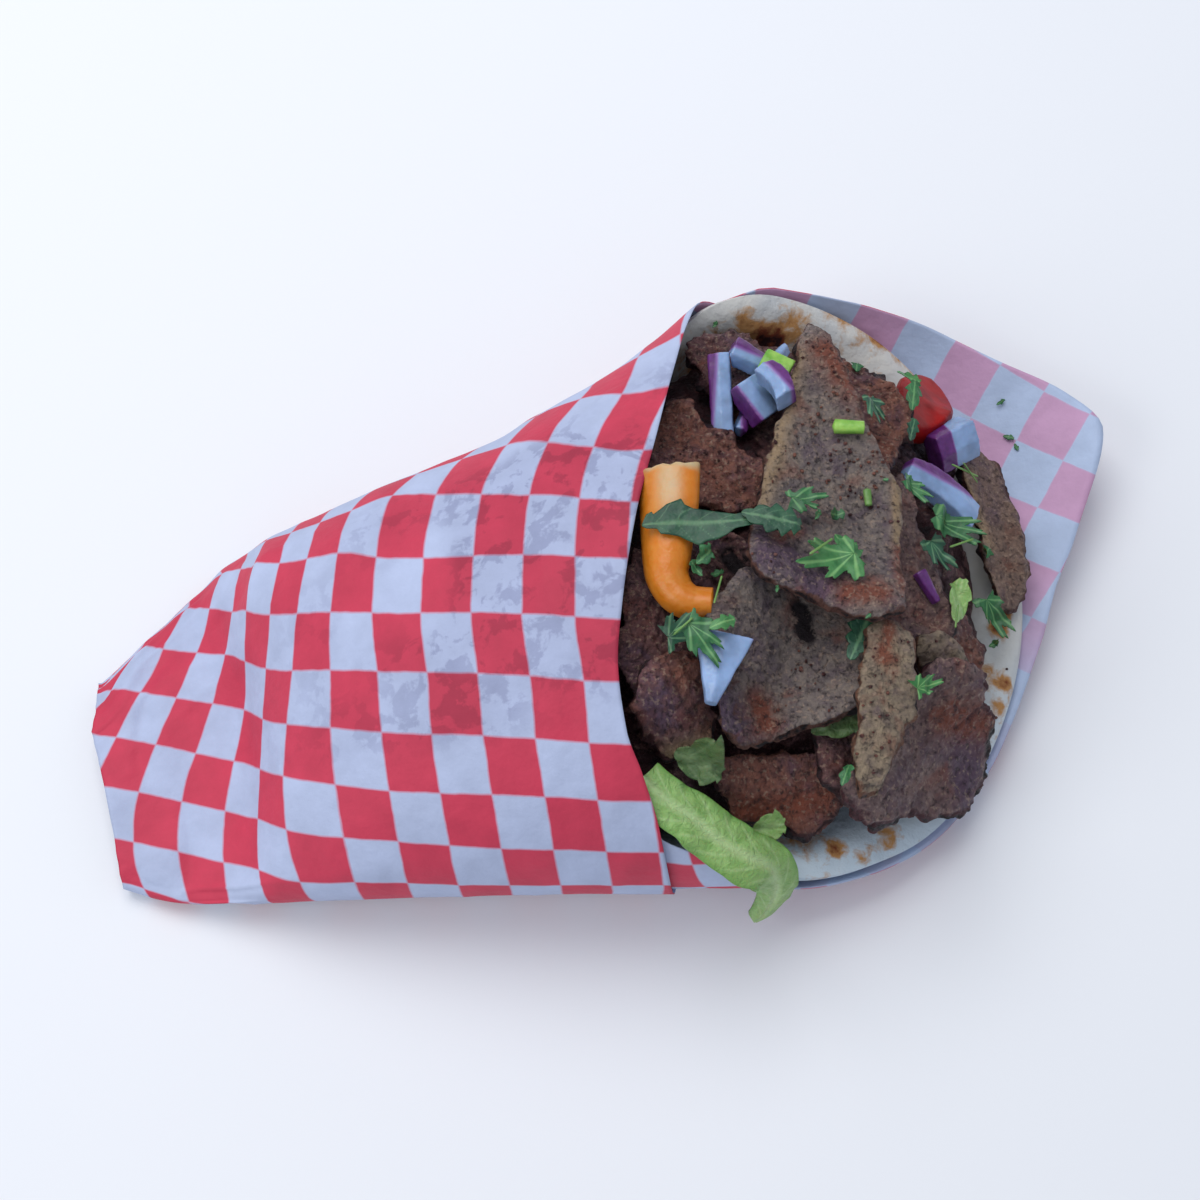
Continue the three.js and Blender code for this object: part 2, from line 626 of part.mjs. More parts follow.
// What lies on the heap, from the lowest to the top piece. A slice has the corners of its outline
// on the plan, and slack is how stiffly it bridges what it lies on. A leaf tucked between slices
// has a place, a length and a width instead.
const LAYERS = [
  { name: 'slice_far_rim_long', finish: 'slice', thick: 5, slack: 5,
    corners: [[84, 38], [90, 36], [97, 23], [100, 6], [99, -3], [94, -8], [88, 1], [85, 18]] },
  { name: 'tomato_wedge', finish: 'tomato', thick: 9, slack: 3,
    corners: [[70, 46], [78, 50], [83, 44], [80, 36], [70, 31]] },
  { name: 'slice_far_rim', finish: 'crust', thick: 5, slack: 4,
    corners: [[18, 47], [26, 55], [36, 50], [42, 43], [38, 37], [21, 40]] },
  { name: 'slice_right_back', finish: 'crust', thick: 5, slack: 4,
    corners: [[77, -12], [83, -14], [86, -26], [82, -34], [76, -32], [74, -22]] },
  { name: 'slice_bottom', finish: 'crust', thick: 5, slack: 4,
    corners: [[22, -49], [34, -48], [50, -50], [51, -58], [42, -62], [26, -60]] },
  { name: 'slice_under', finish: 'crust', thick: 5, slack: 4,
    corners: [[46, -42], [58, -40], [62, -50], [58, -58], [48, -56], [44, -48]] },
  { name: 'lettuce_under', finish: 'lettuce', x: 48.9, y: -42.5, length: 13, width: 9, turn: 20 },
  { name: 'slice_left_crusty', finish: 'crust', thick: 6, slack: 5,
    corners: [[14, 33], [27, 23], [36, 13], [31, 4], [19, 5], [9, 13], [8, 25]] },
  { name: 'slice_left_low', finish: 'crust', thick: 5.5, slack: 5,
    corners: [[2, -15], [8, -4], [18, -14], [22, -27], [15, -39], [5, -41], [2, -29]] },
  { name: 'slice_middle_burnt', finish: 'crust', thick: 5, slack: 4,
    corners: [[16, -4], [24, -1], [32, -5], [32, -15], [24, -20], [16, -14]] },
  { name: 'slice_right_middle', finish: 'slice', thick: 5.5, slack: 5,
    corners: [[66, 17], [71, 6], [75, -9], [76, -20], [71, -27], [63, -24], [59, -12], [60, 8]] },
  { name: 'slice_right_small', finish: 'slice', thick: 4, slack: 4,
    corners: [[67, -24], [74, -23], [79, -28], [74, -33], [68, -31]] },
  { name: 'slice_lower_right', finish: 'crust', thick: 6, slack: 5,
    corners: [[66, -34], [76, -30], [84, -34], [88, -46], [81, -54], [68, -59], [54, -63], [48, -56],
      [58, -47]] },
  { name: 'slice_lower_left', finish: 'crust', thick: 5, slack: 4,
    corners: [[7, -34], [15, -31], [22, -38], [22, -48], [13, -50], [5, -44]] },
  { name: 'slice_far_dark', finish: 'crust', thick: 5, slack: 5,
    corners: [[46, 50], [57, 47], [65, 42], [67, 22], [60, 16], [48, 22], [44, 36]] },
  { name: 'slice_lower_big', finish: 'slice', thick: 6, slack: 6,
    corners: [[23, -18], [33, -12], [46, -13], [55, -20], [54, -40], [38, -46], [23, -49], [20, -39]] },
  { name: 'parsley_middle_deep', finish: 'parsley', x: 53.4, y: -25.6, length: 15, width: 7, turn: 65 },
  { name: 'slice_narrow_pale', finish: 'slice', thick: 5, slack: 5,
    corners: [[56, -23], [62, -25], [65, -38], [61, -50], [54, -60], [49, -58], [50, -50], [52, -38]] },
  { name: 'slice_main', finish: 'slice', thick: 6, slack: 7,
    corners: [[46, 52], [42, 40], [38, 26], [33, 12], [30, -5], [30, -16], [40, -21], [50, -24],
      [61, -23], [63, -10], [63, 8], [58, 26], [54, 38]] },
];
const TORN = 1.8; // how far a bite at the edge of a large slice reaches
const FIRST_SEED = 20;

LAYERS.forEach(({ name, finish, corners, thick, slack, ...place }, i) => {
  if (!corners) return drapeLeaf({ name, ...place }, finish);
  const sheet = ground.drape(slack);
  const smooth = finish === 'tomato';
  const count = smooth ? 16 : Math.round(THREE.MathUtils.clamp(corners.length * 3, 18, 30));
  const outline = tornOutline(corners, count, smooth ? 0 : TORN, FIRST_SEED + i);
  const looks = smooth ? { edge: 0.4, rough: 0 } : { seed: 2 * FIRST_SEED + i };
  return lay(name, slab(outline, thick, (x, y) => sheet(x, y) + GAP, looks), finish);
});

// The packed meat bulges up under the slices until it nearly meets them.
const SWELL_LIMIT = 9;
const SWELL_REACH = 7; // about the spacing of the heap's points
placed.slice(3).forEach(({ geometry }) => ground.roof(geometry));
const bulged = heap((x, y, z) => {
  const room = ground.ceilingOver(x, y, SWELL_REACH) - 2 * GAP - z;
  return Number.isFinite(room) ? THREE.MathUtils.clamp(room, 0, SWELL_LIMIT) : 0;
});
const swollen = clear(bulged, placed.slice(0, 2));
group.getObjectByName('meat_heap').geometry = swollen;
placed[2].geometry = swollen;
ground.raise(swollen);

// The flap's edge now counts as ground too, for what is sprinkled on top last.
ground.raise(placed[0].geometry);

const PEPPER_PATH = [
  [12, 8.5, 68], [12, 1.5, 68], [11.5, -8, 67.5], [11.3, -14, 67], [13.3, -19, 66.5],
  [16.8, -21.2, 66.5], [21, -21.6, 67],
];
const pepperWidth = along([[0, 14], [0.5, 11], [0.75, 8], [1, 6.5]]);
const pepper = strip(PEPPER_PATH, pepperWidth, 3.5, { steps: 11, arch: 2.5, lean: -20 });
settle('pepper_strip', pepper, 'pepper', { sunk: 0.03 });

const ONIONS = [
  { name: 'onion_bar', x: 25.5, y: 35.1, turn: 92, length: 19, width: 5, thick: 5 },
  { name: 'onion_far_wedge', x: 31.2, y: 42.5, turn: -22, length: 10, width: 6, thick: 5, taper: 0.4 },
  { name: 'onion_sliver', x: 29.6, y: 29.5, turn: 70, length: 7, width: 3, thick: 4, taper: 0.5 },
  { name: 'onion_block', x: 31.6, y: 32.6, turn: -50, length: 10, width: 6.5, thick: 6 },
  { name: 'onion_ring_piece', x: 37.2, y: 31.6, turn: -62, length: 10, width: 5, thick: 6, bend: 1.2 },
  { name: 'onion_white_bit', x: 41.2, y: 50.5, turn: 60, length: 5, width: 3, thick: 3, taper: 0.4 },
  { name: 'onion_right_cube', x: 79.6, y: 31.4, turn: 28, length: 11, width: 9.5, thick: 7, tilt: 12 },
  { name: 'onion_right_crescent', x: 74.2, y: 13.2, turn: -26, length: 20, width: 7, thick: 5, bend: 2 },
  { name: 'onion_right_chip', x: 69.6, y: -11.6, turn: -58, length: 8, width: 3, thick: 2.5, taper: 0.5 },
  { name: 'onion_kite', x: 21.6, y: -37, turn: -102, length: 15, width: 12, thick: 4, taper: 0.8, sunk: 0.3 },
];
for (const { name, x, y, turn, tilt, sunk = 0.08, ...shape } of ONIONS) {
  settle(name, onionPiece(shape), 'onion', { x, y, turn, tilt, sunk, lean: 0.6 });
}

const SPRING_ONION = { length: 7, width: 5.5, thick: 4 };
settle('spring_onion_chip', onionPiece(SPRING_ONION), 'parsley', { x: 37.5, y: 39, turn: -28 });

const LETTUCE_PATH = [
  [6.5, -55.5, 52], [12, -60.8, 49.5], [17, -63.4, 47.5], [22.5, -67.6, 44.5], [28.8, -70.6, 41.5],
  [34.4, -72.4, 36], [36.3, -74.8, 26], [35.2, -76.6, 15], [33.2, -77.8, 7],
];
const lettuceWidth = along([[0, 9], [0.3, 12], [0.6, 13], [0.75, 8], [1, 4]]);
const hang = new THREE.Vector3(-1, -0.1, 0);
const lettuce = strip(LETTUCE_PATH, lettuceWidth, 1, { steps: 15, arch: 1.2, ripple: 0.5, hang });
lay('lettuce_leaf', lettuce, 'lettuce');

const GREENS = [
  ['parsley_over_pepper', 18.8, -5.5, 26, 10, 2], ['parsley_main_left', 33.3, -5.3, 13.5, 7, -12],
  ['parsley_left_high', 14.9, -28, 9, 7, 20], ['parsley_on_onion', 18.9, -32, 12, 6, -45],
  ['parsley_left_pale', 22.4, -29.1, 6, 3.6, 25], ['parsley_main_middle', 41.8, 0.8, 9, 6, 5],
  ['parsley_fan_high', 50, -8.5, 8, 6, -50], ['parsley_fan_low', 45.6, -13.7, 15, 9, 20],
  ['parsley_far_dark', 59.3, 27.3, 7, 5, -70], ['parsley_far_tip', 69.7, 42.3, 6, 4, -20],
  ['parsley_by_tomato', 69.8, 35.5, 9, 4, 80], ['parsley_under_tomato', 68.7, 26, 6, 3, 75],
  ['parsley_right_short', 67.7, 8.4, 8, 4, -30], ['parsley_right_long', 78.3, 3.9, 13, 6, -15],
  ['parsley_right_teal', 72.9, -4.2, 8.5, 6, -60], ['parsley_rim', 90.1, -10.5, 11, 6, -60],
  ['parsley_low_right', 66.2, -37.4, 7, 4, 30],
];
for (const [name, x, y, length, width, turn] of GREENS) {
  drapeLeaf({ name, x, y, length, width, turn }, 'parsley');
}

const CURLS = [
  { name: 'lettuce_right_curl', x: 77.2, y: -14, length: 13, width: 6, turn: 75, ripple: 0.8 },
  { name: 'lettuce_low_curl', x: 18.3, y: -52, length: 11, width: 8, turn: -20, ripple: 1.2, thick: 1 },
  { name: 'lettuce_low_bit', x: 34.4, y: -62.3, length: 8, width: 6, turn: 10, ripple: 0.8 },
];
for (const curl of CURLS) drapeLeaf(curl, 'lettuce');

// The origin is on the table below the middle of the wrap.
const bounds = new THREE.Box3().setFromObject(group);
const middle = bounds.getCenter(new THREE.Vector3());
group.position.set(-middle.x, -middle.y, -bounds.min.z);

export default group;
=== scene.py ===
"""Dresses the gyro wrap: checked paper, pita, shaved meat, vegetables and chopped greens.

The file is laid out as an add-on and is run as a script. Lengths in the makers' functions are in
millimetres; the meshes they make are in metres.
"""

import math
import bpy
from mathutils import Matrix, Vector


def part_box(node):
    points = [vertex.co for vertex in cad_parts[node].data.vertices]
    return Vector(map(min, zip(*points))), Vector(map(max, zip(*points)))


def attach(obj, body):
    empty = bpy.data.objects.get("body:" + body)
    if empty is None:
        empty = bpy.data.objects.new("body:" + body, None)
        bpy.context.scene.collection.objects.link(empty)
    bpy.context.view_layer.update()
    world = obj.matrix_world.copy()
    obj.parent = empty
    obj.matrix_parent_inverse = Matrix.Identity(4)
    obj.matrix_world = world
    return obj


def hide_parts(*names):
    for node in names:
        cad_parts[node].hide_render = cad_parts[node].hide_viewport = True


bl_info = {
    "name": "Gyro Wrap",
    "version": (1, 0, 0),
    "blender": (4, 5, 0),
    "location": "3D View > Sidebar > Gyro Wrap",
    "description": "Makes a gyro wrap piece by piece: paper, pita, meat, vegetables and greens",
    "category": "Object",
}

import bpy
import numpy as np
from bpy.props import FloatProperty, FloatVectorProperty, IntProperty, PointerProperty
from mathutils import Vector

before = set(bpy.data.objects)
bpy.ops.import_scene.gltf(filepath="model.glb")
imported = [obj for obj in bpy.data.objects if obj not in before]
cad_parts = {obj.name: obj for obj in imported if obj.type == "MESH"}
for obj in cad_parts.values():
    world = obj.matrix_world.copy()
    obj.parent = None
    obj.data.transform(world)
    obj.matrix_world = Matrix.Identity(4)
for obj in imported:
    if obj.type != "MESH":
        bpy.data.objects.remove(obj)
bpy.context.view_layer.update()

MM = 0.001


# ---------------------------------------------------------------- curves and noise


def along(knots):
    """A smooth curve through (position, value) knots, with no overshoot between them."""
    at, value = np.array(knots, float).T
    slope = np.zeros(len(at))
    rise = np.diff(value) / np.diff(at)
    before, after = rise[:-1], rise[1:]
    same = before * after > 0
    slope[1:-1][same] = 2 * before[same] * after[same] / (before + after)[same]

    def curve(x):
        x = np.clip(np.asarray(x, float), at[0], at[-1])
        i = np.clip(np.searchsorted(at, x) - 1, 0, len(at) - 2)
        span = at[i + 1] - at[i]
        t = (x - at[i]) / span
        ease = t * t * (3 - 2 * t)
        bend = t * (1 - t) ** 2 * slope[i] - t * t * (1 - t) * slope[i + 1]
        return value[i] + (value[i + 1] - value[i]) * ease + span * bend

    return curve


def mix(a, b, share):
    """Goes from a to b as the share goes from 0 to 1."""
    return a + (b - a) * share


def smooth(x, low, high):
    """Rises smoothly from 0 at low to 1 at high."""
    t = np.clip((np.asarray(x, float) - low) / (high - low), 0, 1)
    return t * t * (3 - 2 * t)


def power(value, exponent):
    """Raises the size of a value to a power and keeps its sign."""
    return np.sign(value) * np.abs(value) ** exponent


def unit(vectors):
    """The same directions, each with a length of one."""
    return vectors / np.maximum(np.linalg.norm(vectors, axis=-1, keepdims=True), 1e-9)


CELL_PRIMES = np.array([73856093, 19349663, 83492791])  # they give each cell a number of its own
STIRS = ((13, 1274126177), (15, 2246822519))  # shifts and factors that stir that number


def lumps(points, size, seed=0):
    """Smooth noise from -1 to 1 at each point, with lumps of about the given size."""
    scaled = np.asarray(points, float) / size + 37.1 * (seed + 1)
    cell = np.floor(scaled).astype(np.int64)
    t = scaled - cell
    t = t * t * (3 - 2 * t)
    total = 0.0
    for corner in range(8):
        step = np.array([corner & 1, corner >> 1 & 1, corner >> 2])
        key = (cell + step) @ CELL_PRIMES + seed * 2654435
        for shift, factor in STIRS:
            key = (key ^ key >> shift) * factor & 0x7FFFFFFF
        share = np.prod(np.where(step, t, 1 - t), axis=-1)
        total = total + share * ((key & 0xFFFF) / 32767.5 - 1)
    return total


# ---------------------------------------------------------------- meshes


def grid_faces(rows, columns, ring=False):
    """The four-cornered faces of a grid of points, row by row."""
    row = np.arange(rows - 1)[:, None] * columns
    here = np.arange(columns if ring else columns - 1)[None, :]
    there = (here + 1) % columns
    corners = [row + here, row + there, row + columns + there, row + columns + here]
    return np.stack(corners, -1).reshape(-1, 4)


def shell(front, back):
    """The points and faces of a closed shell between two grids of points."""
    rows, columns = front.shape[:2]
    half = rows * columns
    faces = grid_faces(rows, columns)
    number = np.arange(half).reshape(rows, columns)
    rim = np.concatenate([number[0], number[1:, -1], number[-1, -2::-1], number[-2:0:-1, 0]])
    following = np.roll(rim, -1)
    side = np.stack([following, rim, rim + half, following + half], -1)
    points = np.concatenate([front.reshape(-1, 3), back.reshape(-1, 3)])
    return points, np.concatenate([faces, faces[:, ::-1] + half, side])


def both_faces(values):
    """A mask for a shell: the same values on its front and its back."""
    return np.tile(np.ravel(values), 2)


def sheet_frame(points):
    """On a grid wound round the wrap: the ways straight inward, and along the wrap's length."""
    inward = unit(np.cross(np.gradient(points, axis=0), np.gradient(points, axis=1)))
    return inward, unit(np.array([1.0, 0, 0]) - inward * inward[..., :1])


def joined(parts):
    """Several (points, faces) pairs as one."""
    points, faces, start = [], [], 0
    for some_points, some_faces in parts:
        points.append(some_points)
        faces.extend([corner + start for corner in face] for face in some_faces)
        start += len(some_points)
    return np.concatenate(points), faces


def make(name, points, faces, paints, slot, replaces=(), uv=None, **masks):
    """A new object from points in millimetres, smooth-shaded and riding on the wrap."""
    mesh = bpy.data.meshes.new(name)
    faces = faces.tolist() if isinstance(faces, np.ndarray) else faces
    mesh.from_pydata((np.asarray(points) * MM).tolist(), [], faces)
    mesh.shade_smooth()
    if uv is not None:
        corners = np.empty(len(mesh.loops), np.int32)
        mesh.loops.foreach_get("vertex_index", corners)
        layer = mesh.uv_layers.new(name="Print")
        layer.data.foreach_set("uv", uv[corners].astype(np.float32).ravel())
    for key, values in masks.items():
        mask = mesh.attributes.new(key, "FLOAT", "POINT")
        mask.data.foreach_set("value", np.asarray(values, np.float32))
    for paint in paints if isinstance(paints, (list, tuple)) else [paints]:
        mesh.materials.append(paint)
    piece = bpy.data.objects.new(name, mesh)
    bpy.context.scene.collection.objects.link(piece)
    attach(piece, "root")
    if replaces:
        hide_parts(*replaces)
    return piece


def solid_box(node):
    """The lowest and highest corners of a CAD solid, in millimetres."""
    return [np.array(corner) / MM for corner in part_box(node)]


def fine_copy(node, cell, softening):
    """The points, faces, edges and normals of a CAD solid, remade in fine cells and softened."""
    body = bpy.data.objects.new(node + " copy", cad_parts[node].data.copy())
    bpy.context.scene.collection.objects.link(body)
    cells = body.modifiers.new("Cells", "REMESH")
    cells.mode = "VOXEL"
    cells.voxel_size = cell * MM
    soften = body.modifiers.new("Soften", "SMOOTH")
    soften.factor = 0.5
    soften.iterations = softening
    solid = body.evaluated_get(bpy.context.evaluated_depsgraph_get()).to_mesh()

    def read(items, key, width, kind):
        values = np.empty(len(items) * width, kind)
        items.foreach_get(key, values)
        return values.reshape(-1, width)

    points, normals = (read(solid.vertices, key, 3, float) for key in ("co", "normal"))
    edges = read(solid.edges, "vertices", 2, np.int32)
    faces = [list(face.vertices) for face in solid.polygons]
    bpy.data.objects.remove(body)
    return points / MM, faces, edges, normals


def spread(values, edges, rounds):
    """Averages a value with that of the neighbouring points, again and again."""
    count = len(values)
    a, b = edges.T
    neighbours = np.maximum(np.bincount(edges.ravel(), minlength=count), 1)
    for _ in range(rounds):
        total = np.bincount(a, values[b], count) + np.bincount(b, values[a], count)
        values = (values + total / neighbours) / 2
    return values


class Ground:
    """The height of what already lies in the wrap, cell by cell, seen from above."""

    CELL = 0.75  # millimetres
    LOW = np.array([-30.0, -85.0])  # x and y of its lowest corner
    SHAPE = (210, 227)  # cells along x and along y

    def __init__(self):
        self.height = np.zeros(self.SHAPE)
        self.bare = None  # the height of the bare meat and pita, once they are in

    def lay(self, points):
        """Takes in the points of a piece that has been laid."""
        cell = np.floor((points[:, :2] - self.LOW) / self.CELL).astype(int)
        inside = np.all((cell >= 0) & (cell < self.SHAPE), axis=1)
        layer = np.zeros(self.SHAPE)
        np.maximum.at(layer, tuple(cell[inside].T), points[inside, 2])
        grown = self.around(layer, 1, np.maximum)
        self.height = np.maximum(self.height, np.where(layer > 0, layer, grown))

    @staticmethod
    def around(values, reach, merge):
        """Merges each cell with those that are up to reach cells away."""
        for axis in (0, 1):
            shifted = [np.roll(values, k, axis) for k in range(-reach, reach + 1)]
            values = merge.reduce(shifted)
        return values

    def sheet(self, slack):
        """A smooth height over the ground that hardly dips into it: what a limp piece follows."""
        reach = max(1, round(slack / self.CELL))
        highest = self.around(self.height, reach, np.maximum)
        level = self.around(highest, reach, np.add) / (2 * reach + 1) ** 2

        def height(x, y):
            u = np.clip((x - self.LOW[0]) / self.CELL - 0.5, 0, self.SHAPE[0] - 1.001)
            v = np.clip((y - self.LOW[1]) / self.CELL - 0.5, 0, self.SHAPE[1] - 1.001)
            i, j = np.floor(u).astype(int), np.floor(v).astype(int)
            s, t = u - i, v - j
            low = mix(level[i, j], level[i + 1, j], s)
            return mix(low, mix(level[i, j + 1], level[i + 1, j + 1], s), t)

        return height


ground = Ground()


# ---------------------------------------------------------------- paints


def colour(red, green, blue):
    """A paint colour from red, green and blue out of 255 as seen on a screen."""
    linear = [(c / 255 + 0.055) / 1.055 for c in (red, green, blue)]
    return (*[c**2.4 if c > 0.0932 else c * 1.055 / 12.92 for c in linear], 1.0)


def shade(chosen, level=1.0):
    """A colour from the settings, made lighter or darker."""
    return (*[c * level for c in chosen], 1.0)


class Paint:
    """A material whose pattern is built up step by step; sizes are in millimetres."""

    def __init__(self, name):
        self.material = bpy.data.materials.new(name)
        self.material.use_nodes = True
        self.tree = self.material.node_tree
        self.surface = self.tree.nodes["Principled BSDF"]
        self.place = self.add("ShaderNodeTexCoord").outputs["Object"]

    def add(self, kind, sockets=(), **settings):
        """A new node with the given sockets and settings."""
        node = self.tree.nodes.new(kind)
        for key, value in settings.items():
            setattr(node, key, value)
        for key, value in dict(sockets).items():
            self.plug(value, node.inputs[key])
        return node

    def plug(self, value, socket):
        """Sets a socket to a value, or links it to another node's output."""
        if isinstance(value, bpy.types.NodeSocket):
            self.tree.links.new(value, socket)
        else:
            socket.default_value = value

    def noise(self, size, detail=2.0, rough=0.5, warp=0.0):
        """Cloudy noise from 0 to 1 in patches of about the given size."""
        sockets = {"Vector": self.place, "Scale": 1 / (size * MM), "Detail": detail}
        sockets.update({"Roughness": rough, "Distortion": warp})
        return self.add("ShaderNodeTexNoise", sockets).outputs["Fac"]

    def cells(self, size):
        """How far each place is from the middle of its cell, in cells of about the given size."""
        sockets = {"Vector": self.place, "Scale": 1 / (size * MM)}
        return self.add("ShaderNodeTexVoronoi", sockets, feature="F1").outputs["Distance"]

    def mask(self, name):
        """A value that the mesh itself holds at each point."""
        return self.add("ShaderNodeAttribute", attribute_name=name).outputs["Fac"]

    def between(self, value, low, high, to_low=0.0, to_high=1.0):
        """Rises from to_low to to_high as the value goes from low to high."""
        sockets = {"Value": value, "From Min": low, "From Max": high}
        sockets.update({"To Min": to_low, "To Max": to_high})
        return self.add("ShaderNodeMapRange", sockets, clamp=True).outputs["Result"]

    def math(self, operation, a, b=0.0):
        """A sum, a product or the like of two values."""
        node = self.add("ShaderNodeMath", operation=operation)
        self.plug(a, node.inputs[0])
        self.plug(b, node.inputs[1])
        return node.outputs[0]

    def blend(self, share, a, b, way="MIX"):
        """Colour a turning into colour b by a share from 0 to 1."""
        node = self.add("ShaderNodeMix", data_type="RGBA", blend_type=way)
        for socket, value in zip((node.inputs[0], node.inputs[6], node.inputs[7]), (share, a, b)):
            self.plug(value, socket)
        return node.outputs[2]

    def mottled(self, a, b, size, detail=2.0, low=0.35, high=0.65, **grain):
        """Colours a and b in soft patches of about the given size."""
        return self.blend(self.between(self.noise(size, detail, **grain), low, high), a, b)

    def bump(self, height, depth, under=None):
        """Relief of the given depth, on top of the relief under it."""
        sockets = {"Height": height, "Distance": depth * MM, "Strength": 1.0}
        if under is not None:
            sockets["Normal"] = under
        return self.add("ShaderNodeBump", sockets).outputs["Normal"]

    def finish(self, **sockets):
        """Sets the surface's own sockets and hands over the material."""
        for key, value in sockets.items():
            self.plug(value, self.surface.inputs[key.replace("_", " ")])
        return self.material


# ---------------------------------------------------------------- the roll's cross-sections

SHIFT = np.array([0.767, 4.382, 0.0])  # from the sections' own middle to the wrap's origin

# How far the roll reaches to each side and up, by x: its two sides, its top, the widest height of
# each side, and its belly.
far_side = along([
    (-124, -22), (-118, -15), (-111, -5), (-102, 3.5), (-88, 11.5), (-68, 19), (-29, 33),
    (-5, 46), (10, 55.5), (23.5, 66), (33, 70), (41, 72), (65, 74), (83, 76),
])
near_side = along([
    (-124, -66), (-113, -69), (-98, -72.5), (-72, -73.5), (33, -74), (45, -77), (65, -81),
    (83, -84),
])
crown = along([
    (-124, 7.5), (-113, 8), (-100, 8.5), (-92, 10), (-86.5, 13.5), (-81, 23), (-76, 31),
    (-70, 37), (-60, 43.5), (-50, 49), (-30, 57), (-10, 64), (5, 67.5), (20, 69.5),
])
near_waist = along([
    (-124, 4), (-100, 5), (-82, 11), (-50, 20), (0, 27), (25, 27), (50, 40), (65, 50),
])
far_waist = along([
    (-124, 4), (-100, 5), (-82, 11), (-50, 20), (0, 28), (25, 38), (41, 48), (65, 50),
])
belly = along([(55, 0), (70, 1.5), (83, 4), (95, 8), (105, 11), (124, 16)])
# How much nearer the mouth the body's fold towards the tail lies, by degrees; it dies out forward.
fold_shift = along([(90, -12), (140, -10), (158, -6), (175, -1), (197, 2), (225, 2.5), (300, 2.5)])
FOLD_FADES = -70, -40
BELLY_FLAT = 1.2  # how far the round of the belly would reach below the floor that flattens it
BELLY_POWER = 0.75  # 1 would be round, less is squarer
LEAST_RISE = 0.4  # of the top over the waist


def skin(x, degrees, inset):
    """A point of the roll's skin: degrees run 0 at the belly, 90 far side, 180 top, 270 near."""
    x, degrees, inset = np.broadcast_arrays(np.asarray(x, float), degrees, inset)
    s, c = np.sin(np.radians(degrees)), np.cos(np.radians(degrees))
    middle, half = (far_side(x) + near_side(x)) / 2, (far_side(x) - near_side(x)) / 2
    waist = mix(near_waist(x), far_waist(x), (1 + s) / 2)
    low = belly(x)
    drop = (waist - low + BELLY_FLAT - inset) * power(c, BELLY_POWER)
    top = crown(x - fold_shift(degrees % 360) * (1 - smooth(x, *FOLD_FADES)))
    bottom_y = middle + (half - inset) * power(s, BELLY_POWER)
    bottom_z = np.maximum(waist - drop, low + inset)
    top_z = waist - np.maximum(top - waist - inset, LEAST_RISE) * c
    under = c >= 0
    y = np.where(under, bottom_y, middle + (half - inset) * s)
    return np.stack([x, y, np.where(under, bottom_z, top_z)], -1) + SHIFT


# ---------------------------------------------------------------- paper

SHEET_START, SHEET_END = -117, 297  # degrees: up the near side, once round, tucked under
SHEET_ROWS, SHEET_COLUMNS = 150, 231
LAP_RISE, TUCK = 1.3, 1.2  # how far the lap lies outside, and the tucked start inside
TAIL_TIP = -124
TAIL_SLANT, TAIL_SQUARE_TO = 0.267, -29  # the tail is cut aslant on the near side of this y
BACK_WAVES, PLEATS = 1.1, 0.5  # height of the waves down the far side, depth of the pleats on top
START_LIFT = 0.6  # of the tucked start of the sheet, so that it lies on its end
GREASE = colour(212, 210, 218)  # soaked paper is darkened by it
# How far forward the sheet's front edge reaches, by degrees round the roll.
front_edge = along([
    (-117, 10), (-108, 20), (-98, 28), (-84, 35), (-72, 42), (-59, 55), (-43.6, 71.5),
    (-22.6, 90), (-4, 103), (8, 114), (28, 122.5), (38, 113.5), (48, 98), (70, 65), (82, 38),
    (90, 24), (120, 18), (153, 10.5), (173, 5), (189, 2.2), (200, 1.2), (215, 3), (225, 6.3),
    (240, 10), (265, 13), (297, 15),
])


def tail_edge(degrees):
    """The x of the sheet's edge at the tail."""
    y = skin(TAIL_TIP + 6, degrees, 0)[..., 1] - SHIFT[1]
    return TAIL_TIP + TAIL_SLANT * np.maximum(0, TAIL_SQUARE_TO - y)


def paper_grid(crinkle):
    """Points of the paper's outer face, with the x and degrees of each."""
    degrees = np.linspace(SHEET_START, SHEET_END, SHEET_COLUMNS)[None, :]
    share = np.linspace(0, 1, SHEET_ROWS)[:, None]
    x = mix(tail_edge(degrees), front_edge(degrees), share)
    degrees = np.broadcast_to(degrees, x.shape)
    tucked = smooth(-degrees, 35, 60) * smooth(-x, 40, 70)
    points = skin(x, degrees, TUCK * tucked - LAP_RISE * smooth(degrees, 100, 190))
    flat = np.stack([x, degrees * 0.9, 0 * x], -1)
    creases = (1 - np.abs(lumps(flat, 17, 3))) ** 6 - 0.2
    wrinkle = crinkle * (creases + 0.5 * lumps(flat, 9, 4) + 0.25 * lumps(flat, 4, 5))
    far = (1 - smooth(degrees, 130, 160)) * smooth(degrees, 70, 85) * (1 - smooth(x, 0, 22))
    wrinkle = wrinkle - BACK_WAVES * far * lumps(flat * [1, 0.12, 1], 7, 6)
    on_top = smooth(degrees, 110, 130) * (1 - smooth(degrees, 235, 260))
    wrinkle = wrinkle - PLEATS * on_top * (1 - np.abs(lumps(flat * [1, 0.25, 1], 13, 9))) ** 4
    wrinkle = wrinkle * (0.5 + 1.2 * smooth(-x, 60, 90))
    inward, _ = sheet_frame(points)
    return points - inward * wrinkle[..., None], x, degrees


def carried_turn(points, start):
    """How far a line that is laid straight over the back turns from square to the length."""
    inward, forward = sheet_frame(points)
    side = np.cross(inward, forward)
    turn = np.zeros(points.shape[:2])
    way = side[:, start]
    for column in range(start - 1, -1, -1):
        across = inward[:, column]
        way = unit(way - across * np.sum(way * across, axis=-1, keepdims=True))
        turn[:, column] = np.arctan2(-np.sum(way * forward[:, column], axis=-1),
                                     np.sum(way * side[:, column], axis=-1))
    return turn


